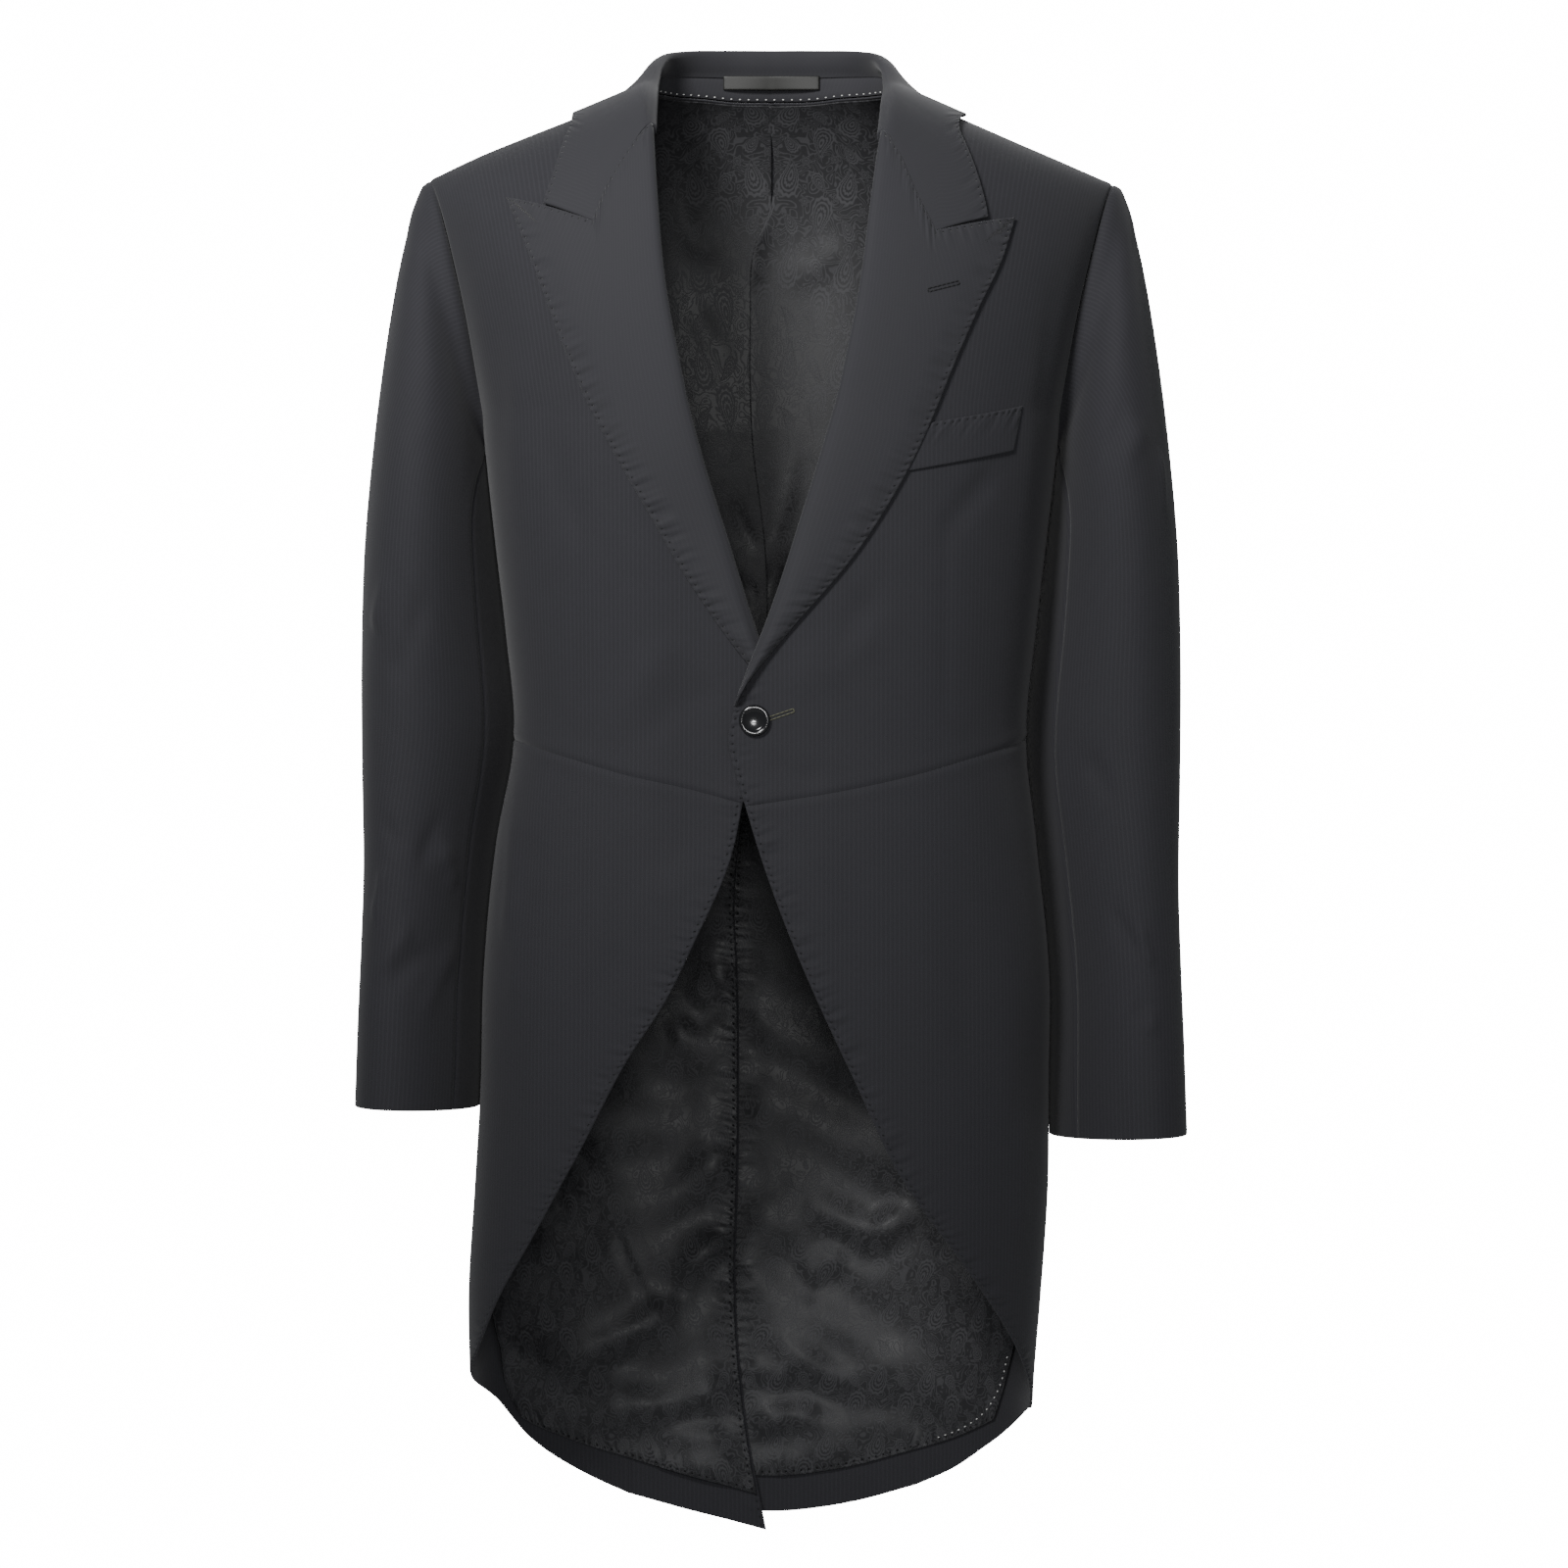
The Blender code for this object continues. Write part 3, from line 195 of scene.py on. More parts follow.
GORGE = {  # the seam between collar and lapel, from the roll line to the notch
    "right": ((0.0763, -0.031), (0.0941, -0.0519), (0.1042, -0.0693), (0.1148, -0.0963)),
    "left": ((0.0709, -0.0361), (0.0823, -0.0503), (0.0924, -0.0745), (0.1063, -0.1032)),
}
COLLAR_CORNER = {"right": (0.1477, -0.0828), "left": (0.1408, -0.0925)}
COLLAR_EDGE = {  # from that corner up to the shoulder
    "right": ((0.1441, -0.067), (0.1385, -0.0541), (0.1324, -0.030)),
    "left": ((0.1378, -0.0736), (0.1329, -0.0581), (0.1238, -0.034)),
}
CUTAWAY = {  # the skirt's front edge, from the waist seam to the side
    "right": ((0.0185, -0.4745), (0.0245, -0.5046), (0.0512, -0.5682), (0.0684, -0.6033),
              (0.0927, -0.6404), (0.1321, -0.7147), (0.1724, -0.7861), (0.1989, -0.8451)),
    "left": ((-0.0165, -0.4765), (-0.0035, -0.5186), (0.0277, -0.5974), (0.0538, -0.6535),
             (0.0864, -0.7208), (0.1199, -0.7677), (0.1556, -0.8206), (0.1714, -0.8553)),
}
WELT = ((0.1008, -0.2280), (0.1641, -0.2140), (0.0836, -0.2600), (0.1582, -0.2437))
BUTTON_AT = (-0.0105, -0.4207)
# Places on the back, as (distance from the centre on the piece's own side, z)
SIDE_HEM = {"right": -0.8590, "left": -0.8820}
HEM = {
    "right": ((0.1871, -0.8849), (0.1666, -0.9132), (0.1255, -0.9425), (0.1000, -0.9550),
              (0.0600, -0.9665), (0.0317, -0.9737), (0.0037, -0.9812)),
    "left": ((0.1747, -0.8851), (0.1485, -0.9181), (0.1250, -0.9365), (0.1000, -0.9490),
             (0.0564, -0.9618), (0.0100, -0.9685), (-0.0280, -0.9680)),
}
HEM_SPLIT = 4  # the side-back seam reaches the hem at the fourth place
VENT = {
    "right": ((0.0037, -0.9812), (0.0160, -0.9172), (0.0229, -0.8587), (0.0229, -0.7020),
              (0.0236, -0.5992), (0.0256, -0.5304), (0.0160, -0.4700), (0.0, -0.4300)),
    "left": ((-0.0280, -0.9680), (-0.0300, -0.8600), (-0.0300, -0.7000), (-0.0290, -0.5600),
             (-0.0240, -0.4900), (-0.0140, -0.4560), (0.0, -0.4300)),
}

# The folded edge of the left back lining, which laps over the right one in a centre pleat
PLEAT = ((-0.0022, 0.0068), (-0.0016, -0.0635), (-0.0119, -0.0868), (-0.0153, -0.1407),
         (-0.0133, -0.2295), (-0.0050, -0.2983), (-0.0040, -0.4300))
PLEAT_LIFT = 0.0016
PLEAT_WIDE = 0.014

# Small sewn details, as (x, z) from the front
NECK_STITCH_PITCH = 0.0060
HEM_STITCH_PITCH = 0.0050
HEM_STITCH_LINE = (  # as seen from the front, along the curved end of the left tail lining
    (0.1148, -0.9150), (0.1310, -0.9075), (0.1455, -0.8955), (0.1560, -0.8770), (0.1625, -0.8500))
LAPEL_HOLE = ((0.1019, -0.1419), (0.1223, -0.1361))
FRONT_HOLE = ((-0.0020, -0.4200), (0.0150, -0.4142))
HOLE_WIDE = 0.0022
THREAD_R = 0.00055
FRONT_THREAD_R = 0.00060
BAR_R = 0.00045  # of the thread in the button's holes
WELT_WALL = 0.0012
WELT_LIFT = 0.0018

# Seams, as (turn, height)
UNDERARM_TURN = 82
ARMHOLE = {"front": 18, "back": 20}  # degrees from the side
UNDERARM_TOP = -0.2300  # where the underarm seam meets the armhole
ARMHOLE_FOOT = -0.236
ARMHOLE_WIDE = -0.110  # where the armhole has reached its full width
SIDE_BACK = ((165, -0.415), (160, -0.330), (148, -0.250), (131, -0.190), (110, -0.150))
TAIL_SEAM = ((165, -0.415), (160, -0.520), (154, -0.700))
WAIST_SIDE = ((82, -0.4320), (120, -0.4210), (165, -0.4150))
WAIST_FRONT = ((0.0520, -0.4655), (0.0935, -0.4563), (0.1335, -0.4447), (0.1640, -0.4350))
NECK_BACK = 0.0068  # height of the neck seam at the centre back
NECK_SEAM = ((0.035, 0.0072), (0.063, 0.0078))
NECK_X = 0.088
NECK_DIP = 4.0  # degrees that the front neckline bows outwards, under the collar

# Collar: the fold from the centre back to the front, as x, y, z, and the share that is turned inside
FOLD = (
    (0.0000, 0.0640, 0.0380, 1.00),
    (0.0300, 0.0620, 0.0378, 1.00),
    (0.0550, 0.0520, 0.0362, 0.95),
    (0.0705, 0.0340, 0.0320, 0.85),
    (0.0770, 0.0120, 0.0225, 0.60),
    (0.0790, -0.0140, 0.0080, 0.15),
)
COLLAR_WALL = 0.0020
STAND_WALL = 0.0016
COLLAR_BACK_EDGE = ((0.112, -0.0110), (0.080, -0.0150), (0.040, -0.0130), (0.0, -0.0125))
LEAF_SHOULDER_X = 0.1290  # where the leaf's edge crosses the shoulder line
COLLAR_COLS = 56  # from the centre back to one end
LEAF_ROWS = 12
LEAF_START = (0.0045, 0.0035)  # where the leaf's fall begins, across from the fold and out from it
LEAF_SAG = 0.0040  # how far the leaf hangs in towards the shoulder, midway
LEAF_NOTCH_ROW = 6  # the row of the leaf's end that lies at the notch
LEAF_BEND_COLS = 12  # columns over which the leaf turns to follow the gorge and the notch
STAND_ENDS = 28  # columns of the leaf, from each end, that have no stand behind them

# Waves of the tail lining: depth, turns a degree across and a metre down, and where each starts
LINING_WAVES = {
    "right": ((0.0011, 0.16, 88.0, 0.4), (0.0008, -0.10, 131.0, 2.1), (0.0006, 0.31, 52.0, 4.0)),
    "left": ((0.0012, -0.12, 95.0, 1.2), (0.0008, 0.19, 71.0, 3.3), (0.0006, -0.27, 140.0, 0.7)),
}
LINING_EASE = 0.0030  # how far the tail lining stands into the hollow, away from its seams
VENT_SPRING = 0.0065  # how far the right tail lining's free edge springs into the hollow

# Sleeve rings: outer x, z; from the body's side to the inner side, inner z; half depth, middle y,
# how much further back the inner side lies
SLEEVE = np.array((
    (0.2244, -0.0575, 0.0012, -0.2360, 0.0560, 0.010, 0.000),
    (0.2400, -0.0670, 0.0016, -0.2420, 0.0560, 0.011, 0.000),
    (0.2460, -0.0920, 0.0006, -0.2520, 0.0665, 0.012, 0.004),
    (0.2525, -0.1250, 0.0006, -0.2660, 0.0760, 0.013, 0.014),
    (0.2600, -0.1750, 0.0007, -0.2860, 0.0820, 0.014, 0.026),
    (0.2670, -0.2350, 0.0008, -0.3110, 0.0840, 0.014, 0.036),
    (0.2730, -0.3050, 0.0012, -0.3500, 0.0810, 0.015, 0.042),
    (0.2750, -0.3800, 0.0012, -0.4000, 0.0750, 0.016, 0.045),
    (0.2745, -0.4500, 0.0012, -0.4550, 0.0690, 0.014, 0.045),
    (0.2730, -0.5150, 0.0012, -0.5150, 0.0640, 0.008, 0.045),
    (0.2740, -0.5700, 0.0012, -0.5700, 0.0610, 0.000, 0.045),
    (0.2755, -0.6200, 0.0011, -0.6200, 0.0595, -0.008, 0.045),
    (0.2770, -0.6760, 0.0010, -0.6790, 0.0580, -0.014, 0.042),
))
CUFF_DROP = {"right": 0.0, "left": 0.0190}  # the left sleeve hangs this much lower
HIND_SEAM_COL = 12  # column, from the shoulder to the back, of the sleeve's hind seam
FORE_SEAM_COL = 28  # column, from the shoulder to the front, of the sleeve's fore seam
SLEEVE_SAMPLES = 57
DEGREE = 0.0013  # cloth to each degree round a sleeve

BUTTON_R = 0.01015
BUTTON_HIGH = 0.0032
BUTTON_WELL_R = 0.0070
BUTTON_HOLE_AT = 0.0016
ROPE_HIGH = 0.0022  # the sleeve's roped head: its height over the cloth,
ROPE_TURN = 95  # how far round from the shoulder it reaches,
ROPE_AT = 0.008  # how far from the seam it lies
ROPE_HALF = 0.006  # and its half width
LOOP_LONG = 0.066
LOOP_WIDE = 0.0095
LOOP_Z = 0.0190
LOOP_BOW = 0.0024
LOOP_OFF = 0.0022
LOOP_WALL = 0.0010

SIGN = {"right": -1, "left": 1}
SIDES = ("right", "left")

# Creases: how far each stands out of the cloth, its half width, and (x, z) places along it, on the
# piece's own side. The linings' lie behind. A sleeve's are (degrees from the shoulder, z).
CREASES = {
    ("forepart", "right"): (
        (-0.0007, 0.005, ((0.1250, -0.2711), (0.1269, -0.3347), (0.1314, -0.4238))),
        (-0.0012, 0.012, ((0.1517, -0.2202), (0.1346, -0.2711), (0.1187, -0.3093))),
        (0.0013, 0.012, ((0.0550, -0.3602), (0.0868, -0.3984), (0.1187, -0.4365))),
        (-0.0010, 0.010, ((0.0296, -0.3984), (0.0614, -0.4111), (0.0932, -0.4429))),
        (0.0015, 0.016, ((0.1696, -0.1629), (0.1664, -0.2266), (0.1632, -0.3093))),
        (-0.0010, 0.012, ((0.1823, -0.1184), (0.1791, -0.1757), (0.1746, -0.2520))),
    ),
    ("forepart", "left"): (
        (-0.0007, 0.005, ((0.1149, -0.2711), (0.1142, -0.3475), (0.1136, -0.4365))),
        (-0.0018, 0.009, ((0.1518, -0.2520), (0.1295, -0.2775), (0.1117, -0.3029))),
        (0.0015, 0.014, ((0.0086, -0.4079), (0.0404, -0.3793), (0.0754, -0.3602))),
        (-0.0013, 0.010, ((0.0309, -0.3920), (0.0531, -0.3602), (0.0722, -0.3284))),
        (-0.0011, 0.008, ((-0.0073, -0.4461), (0.0150, -0.4556), (0.0404, -0.4588))),
        (0.0013, 0.014, ((0.1772, -0.1629), (0.1709, -0.2266), (0.1645, -0.3093))),
        (-0.0010, 0.010, ((0.1899, -0.1184), (0.1804, -0.1820), (0.1753, -0.2393))),
    ),
    ("skirt", "right"): (
        (-0.0012, 0.007, ((0.1587, -0.4875), (0.1607, -0.5193), (0.1645, -0.5511))),
        (0.0015, 0.008, ((0.1696, -0.4747), (0.1721, -0.5256), (0.1746, -0.5765))),
        (0.0012, 0.007, ((0.1657, -0.5574), (0.1683, -0.5829), (0.1708, -0.6083))),
        (0.0013, 0.012, ((0.0805, -0.5447), (0.0614, -0.5256), (0.0423, -0.5129))),
        (-0.0010, 0.012, ((0.0932, -0.5638), (0.1123, -0.5956), (0.1314, -0.6402))),
        (0.0012, 0.016, ((0.1441, -0.5256), (0.1537, -0.6529), (0.1632, -0.7483))),
    ),
    ("skirt", "left"): (
        (0.0012, 0.016, ((0.1549, -0.5256), (0.1581, -0.6211), (0.1549, -0.7165))),
        (-0.0010, 0.014, ((0.1231, -0.5129), (0.1263, -0.5893), (0.1295, -0.6656))),
        (0.0013, 0.012, ((0.0022, -0.5002), (0.0277, -0.5256), (0.0468, -0.5638))),
        (-0.0010, 0.010, ((0.0086, -0.5256), (0.0022, -0.5129), (-0.0041, -0.5002))),
        (0.0013, 0.009, ((0.1645, -0.6720), (0.1664, -0.7165), (0.1613, -0.7738))),
    ),
    ("tail_lining", "right"): (
        (-0.0045, 0.014, ((0.0506, -0.5723), (0.0404, -0.5403), (0.0295, -0.5165))),
        (0.0019, 0.011, ((0.0560, -0.5939), (0.0458, -0.5619), (0.0349, -0.5381))),
        (-0.0035, 0.012, ((0.0574, -0.6165), (0.0424, -0.6015), (0.0268, -0.5900))),
        (0.0015, 0.010, ((0.0622, -0.6357), (0.0472, -0.6207), (0.0316, -0.6092))),
        (-0.0025, 0.012, ((0.0744, -0.6390), (0.0629, -0.6356), (0.0513, -0.6376))),
        (-0.0040, 0.016, ((0.0812, -0.7683), (0.0493, -0.7356), (0.0254, -0.7125))),
        (0.0017, 0.012, ((0.0872, -0.7923), (0.0553, -0.7596), (0.0314, -0.7365))),
        (-0.0050, 0.009, ((0.0697, -0.8132), (0.0472, -0.7901), (0.0254, -0.7737))),
        (0.0021, 0.007, ((0.0733, -0.8276), (0.0508, -0.8045), (0.0290, -0.7881))),
        (-0.0050, 0.011, ((0.1466, -0.8615), (0.1126, -0.8500), (0.0853, -0.8357), (0.0663, -0.8132))),
        (0.0021, 0.009, ((0.1508, -0.8783), (0.1168, -0.8668), (0.0895, -0.8525), (0.0705, -0.8300))),
        (-0.0055, 0.012, ((0.1160, -0.8908), (0.0812, -0.8935), (0.0513, -0.8874), (0.0241, -0.8758))),
        (0.0023, 0.010, ((0.1208, -0.9100), (0.0860, -0.9127), (0.0561, -0.9066), (0.0289, -0.8950))),
        (-0.0030, 0.008, ((0.0901, -0.9139), (0.0527, -0.9133), (0.0186, -0.9167))),
        (-0.0050, 0.009, ((0.0901, -0.9344), (0.0527, -0.9384), (0.0173, -0.9466))),
        (0.0021, 0.007, ((0.0937, -0.9488), (0.0563, -0.9528), (0.0209, -0.9610))),
        (-0.0035, 0.016, ((0.1786, -0.8010), (0.1445, -0.7887), (0.1126, -0.7635))),
        (0.0015, 0.012, ((0.1846, -0.8250), (0.1505, -0.8127), (0.1186, -0.7875))),
        (-0.0050, 0.012, ((0.1922, -0.8350), (0.1772, -0.8568), (0.1493, -0.8683))),
        (0.0021, 0.010, ((0.1970, -0.8542), (0.1820, -0.8760), (0.1541, -0.8875))),
        (-0.0045, 0.009, ((0.1391, -0.7288), (0.1316, -0.7206), (0.1234, -0.7138))),
        (0.0019, 0.007, ((0.1427, -0.7432), (0.1352, -0.7350), (0.1270, -0.7282))),
        (-0.0035, 0.008, ((0.1629, -0.7628), (0.1534, -0.7588), (0.1425, -0.7547))),
        (0.0015, 0.006, ((0.1660, -0.7752), (0.1565, -0.7712), (0.1456, -0.7671))),
        (-0.0014, 0.004, ((0.1132, -0.7669), (0.1017, -0.7955), (0.0860, -0.8255))),
        (-0.0025, 0.009, ((0.0356, -0.8084), (0.0309, -0.8064), (0.0254, -0.8050))),
    ),
    ("tail_lining", "left"): (
        (-0.0070, 0.012, ((0.0168, -0.7479), (0.0426, -0.7635),
                          (0.0692, -0.7737), (0.0910, -0.7649), (0.1093, -0.7526))),
        (0.0029, 0.010, ((0.0216, -0.7671), (0.0474, -0.7827),
                          (0.0740, -0.7929), (0.0958, -0.7841), (0.1141, -0.7718))),
        (-0.0035, 0.011, ((0.0168, -0.8064), (0.0345, -0.7975), (0.0549, -0.7833))),
        (0.0015, 0.009, ((0.0210, -0.8232), (0.0387, -0.8143), (0.0591, -0.8001))),
        (-0.0060, 0.012, ((-0.0105, -0.8316), (0.0181, -0.8602),
                          (0.0426, -0.8731), (0.0671, -0.8738), (0.0957, -0.8588))),
        (0.0025, 0.010, ((-0.0105, -0.8508), (0.0229, -0.8794),
                          (0.0474, -0.8923), (0.0719, -0.8930), (0.1005, -0.8780))),
        (-0.0040, 0.009, ((-0.0200, -0.8663), (-0.0023, -0.8711), (0.0168, -0.8779))),
        (0.0017, 0.007, ((-0.0200, -0.8807), (-0.0023, -0.8855), (0.0204, -0.8923))),
        (-0.0045, 0.009, ((-0.0132, -0.9160), (0.0086, -0.9010), (0.0372, -0.9044))),
        (0.0019, 0.007, ((-0.0132, -0.9304), (0.0122, -0.9154), (0.0408, -0.9188))),
        (-0.0030, 0.009, ((-0.0077, -0.9344), (0.0256, -0.9316), (0.0630, -0.9235))),
        (-0.0030, 0.009, ((0.1127, -0.7696), (0.1229, -0.7792), (0.1338, -0.7914))),
        (-0.0025, 0.012, ((-0.0118, -0.7615), (-0.0173, -0.7955), (-0.0118, -0.8227))),
        (-0.0025, 0.009, ((0.0494, -0.8922), (0.0767, -0.8874), (0.1039, -0.8785))),
    ),
    ("back_lining", "right"): (
        (-0.0016, 0.008, ((0.0595, -0.1217), (0.0445, -0.1489), (0.0241, -0.1707))),
        (-0.0016, 0.006, ((0.0356, -0.2987), (0.0254, -0.3259), (0.0132, -0.3429))),
        (-0.0014, 0.005, ((0.0268, -0.3191), (0.0173, -0.3259), (0.0077, -0.3286))),
        (-0.0016, 0.007, ((0.0663, -0.0400), (0.0561, -0.0809), (0.0309, -0.0958))),
        (-0.0014, 0.006, ((0.0282, -0.2578), (0.0200, -0.2850), (0.0077, -0.2987))),
    ),
    ("back_lining", "left"): (
        (-0.0016, 0.005, ((-0.0084, -0.0700), (-0.0118, -0.0877), (-0.0145, -0.1217))),
        (-0.0016, 0.007, ((0.0086, -0.2987), (0.0018, -0.3191), (-0.0084, -0.3327))),
        (-0.0016, 0.008, ((0.0494, -0.0809), (0.0324, -0.1013), (0.0086, -0.1081))),
        (-0.0014, 0.006, ((0.0168, -0.2238), (0.0086, -0.2714), (-0.0016, -0.2987))),
    ),
    ("top_sleeve", "right"): (
        (-0.0018, 0.010, ((-37, -0.0831), (-49, -0.0961), (-64, -0.1136))),
        (0.0020, 0.012, ((-84, -0.1382), (-125, -0.2029), (-167, -0.2807))),
        (0.0024, 0.009, ((-42, -0.3649), (-49, -0.3454), (-57, -0.3228))),
        (-0.0016, 0.010, ((-55, -0.3972), (-74, -0.3713), (-92, -0.3325))),
        (-0.0018, 0.008, ((-87, -0.5216), (-96, -0.5009), (-106, -0.4788))),
        (0.0022, 0.008, ((-103, -0.5022), (-114, -0.5138), (-123, -0.5345))),
        (0.0024, 0.007, ((-43, -0.5540), (-51, -0.5332), (-58, -0.5125))),
        (0.0024, 0.008, ((-55, -0.5863), (-71, -0.5695), (-87, -0.5553))),
        (-0.0020, 0.009, ((-58, -0.5993), (-85, -0.5818), (-111, -0.5689))),
        (-0.0016, 0.007, ((-51, -0.4840), (-62, -0.4944), (-74, -0.5060))),
        (0.0016, 0.009, ((-99, -0.6174), (-112, -0.5915), (-128, -0.5656))),
    ),
    ("top_sleeve", "left"): (
        (-0.0018, 0.010, ((-38, -0.0825), (-44, -0.0916), (-45, -0.1058))),
        (0.0020, 0.008, ((-83, -0.0980), (-102, -0.1188), (-122, -0.1447))),
        (-0.0014, 0.007, ((-141, -0.2431), (-125, -0.2314), (-115, -0.2211))),
        (-0.0016, 0.007, ((-99, -0.2509), (-82, -0.2289), (-71, -0.2081))),
        (0.0018, 0.007, ((-43, -0.2353), (-42, -0.2612), (-42, -0.2871))),
        (0.0018, 0.009, ((-83, -0.2548), (-68, -0.2366), (-54, -0.2224))),
        (-0.0016, 0.009, ((-113, -0.4426), (-100, -0.4568), (-90, -0.4737))),
        (-0.0020, 0.008, ((-98, -0.5436), (-87, -0.5591), (-73, -0.5773))),
        (0.0022, 0.007, ((-76, -0.5559), (-70, -0.5689), (-63, -0.5838))),
        (-0.0016, 0.007, ((-82, -0.6058), (-77, -0.6122), (-69, -0.6135))),
        (0.0020, 0.006, ((-75, -0.6213), (-68, -0.6213), (-59, -0.6174))),
        (0.0018, 0.014, ((-132, -0.3972), (-140, -0.4944), (-180, -0.5915))),
    ),
}

# ---------------------------------------------------------------- curves and the body's form


def smooth_between(table, at):
    """Values of the table's columns at these places of its first column, on a smooth curve."""
    places, values = table[:, 0], table[:, 1:]
    at = np.clip(np.atleast_1d(at), places.min(), places.max())
    step = np.diff(places)[:, None]
    rise = np.diff(values, axis=0) / step
    slope = np.empty_like(values)
    slope[1:-1] = (rise[:-1] * step[1:] + rise[1:] * step[:-1]) / (step[1:] + step[:-1])
    slope[0], slope[-1] = rise[0], rise[-1]
    i = np.clip(np.searchsorted(places, at) - 1, 0, len(step) - 1)
    width = step[i]
    t = ((at - places[i]) / width[:, 0])[:, None]
    start = (2 * t**3 - 3 * t**2 + 1) * values[i] + (t**3 - 2 * t**2 + t) * width * slope[i]
    end = (3 * t**2 - 2 * t**3) * values[i + 1] + (t**3 - t**2) * width * slope[i + 1]
    return start + end


def quarter_round(square):
    """A quarter of a rounded square of side 1: share of its length, across and along."""
    angle = np.linspace(0, pi / 2, 800)
    across = np.sin(angle) ** (2 / square)
    along = np.abs(np.cos(angle)) ** (2 / square)
    length = np.append(0, np.cumsum(np.hypot(np.diff(across), np.diff(along))))
    return length / length[-1], across, along


GIRTH = quarter_round(GIRTH_SQUARE)
OVER = quarter_round(OVER_SQUARE)


def ramp(value, start, end):
    """0 before start, 1 after end, smooth between; start may be above end."""
    t = np.clip((value - start) / (end - start), 0, 1)
    return t * t * (3 - 2 * t)


def ridge(x):
    """Height of the shoulder line; x is below 0 on the wearer's right."""
    heights = smooth_between(RIDGE, np.abs(x))
    return np.where(np.atleast_1d(x) < 0, heights[:, 0], heights[:, 1])


def on_form(side, turn, height):
    """The body's form at these places, as an array of points."""
    turn, height = np.broadcast_arrays(np.atleast_1d(turn), np.atleast_1d(height))
    shape = turn.shape
    turn, height = turn.ravel().astype(float), height.ravel().astype(float)
    quarters = np.abs(turn) / 90
    front = quarters <= 1
    quarters = np.where(front, quarters, 2 - quarters)
    own = np.where((turn < 0) | (quarters < 0), -1, 1) * SIGN[side]
    quarters = np.abs(quarters)
    across = np.interp(quarters, GIRTH[0], GIRTH[1])
    along = np.interp(quarters, GIRTH[0], GIRTH[2])
    section = smooth_between(BODY, np.minimum(height, YOKE_FOOT))
    share = np.clip((height - YOKE_FOOT) / YOKE_LENGTH, 0, 1)
    half = np.where(own < 0, section[:, 0], section[:, 1])
    half = np.where(height > YOKE_FOOT, smooth_between(YOKE, share)[:, 0], half)
    x = own * half * across
    y = np.where(front, -section[:, 2], section[:, 3]) * along
    up = np.interp(share, OVER[0], OVER[1])
    over = np.interp(share, OVER[0], OVER[2])
    z = np.where(height > YOKE_FOOT, YOKE_FOOT + (ridge(x) - YOKE_FOOT) * up, height)
    y = np.where(height > YOKE_FOOT, RIDGE_Y + (y - RIDGE_Y) * over, y)
    return np.stack([x, y, z], -1).reshape(shape + (3,))


def outward(side, turn, height):
    """The form's normal at these places."""
    turn, height = np.broadcast_arrays(np.atleast_1d(turn), np.atleast_1d(height))
    low = np.minimum(height, SHOULDER_LINE - 0.004) - 0.004
    round_ = on_form(side, turn + 1.5, height) - on_form(side, turn - 1.5, height)
    up = on_form(side, turn, low + 0.008) - on_form(side, turn, low)
    normal = np.cross(round_, up) * SIGN[side]
    return normal / np.linalg.norm(normal, axis=-1, keepdims=True)


def tucked(side, turn, height):
    """How far the right side is set in where the left side laps over it."""
    if side == "left":
        return np.zeros(np.broadcast(turn, height).shape)
    front = LAP_FRONT * ramp(turn, 30, 12) * ramp(height, -0.20, -0.32) * ramp(height, -0.56, -0.49)
    back = LAP_VENT * ramp(turn, 148, 170) * ramp(height, -0.425, -0.455)
    return front + back


def cloth(side, places, lift=0.0):
    """Points on the form at an array of (turn, height), lifted off it along its normal."""
    turn, height = places[..., 0], places[..., 1]
    away = np.asarray(lift) - tucked(side, turn, height)
    return on_form(side, turn, height) + outward(side, turn, height) * away[..., None]


def place(side, x, z, behind=False):
    """The (turn, height) of a point that lies x from the centre at height z, in front or behind."""
    out = abs(x)
    own_half = 1 if (x >= 0) == (side == "left") else 0
    if z > YOKE_FOOT:
        up = (z - YOKE_FOOT) / (ridge(x * SIGN[side])[0] - YOKE_FOOT)
        share = np.interp(min(up, 1), OVER[1], OVER[0])
        half = smooth_between(YOKE, share)[0, 0]
        z = YOKE_FOOT + YOKE_LENGTH * share
    else:
        half = smooth_between(BODY, z)[0, own_half]
    turn = 90 * np.interp(min(out / half, 1), GIRTH[1], GIRTH[0])
    turn = turn if x >= 0 else -turn
    return np.array((180 - turn if behind else turn, z))


def places(side, points, behind=False):
    return np.array([place(side, x, z, behind) for x, z in points])


def run(side, points, cells, smooth=True):
    """Places evenly spaced along a smooth curve through these places, by length of cloth."""
    points = np.asarray(points, float)
    gaps = np.linalg.norm(np.diff(on_form(side, points[:, 0], points[:, 1]), axis=0), axis=1)
    table = np.column_stack([np.append(0, np.cumsum(gaps)), points])
    fine = np.linspace(0, table[-1, 0], 400)
    line = smooth_between(table, fine) if smooth and len(points) > 2 else np.column_stack(
        [np.interp(fine, table[:, 0], table[:, 1]), np.interp(fine, table[:, 0], table[:, 2])])
    gaps = np.linalg.norm(np.diff(on_form(side, line[:, 0], line[:, 1]), axis=0), axis=1)
    length = np.append(0, np.cumsum(gaps))
    even = np.linspace(0, length[-1], cells + 1)
    return np.column_stack([np.interp(even, length, line[:, i]) for i in range(2)])


def joined(*runs):
    """Runs end to end as one."""
    return np.concatenate([runs[0]] + [r[1:] for r in runs[1:]])


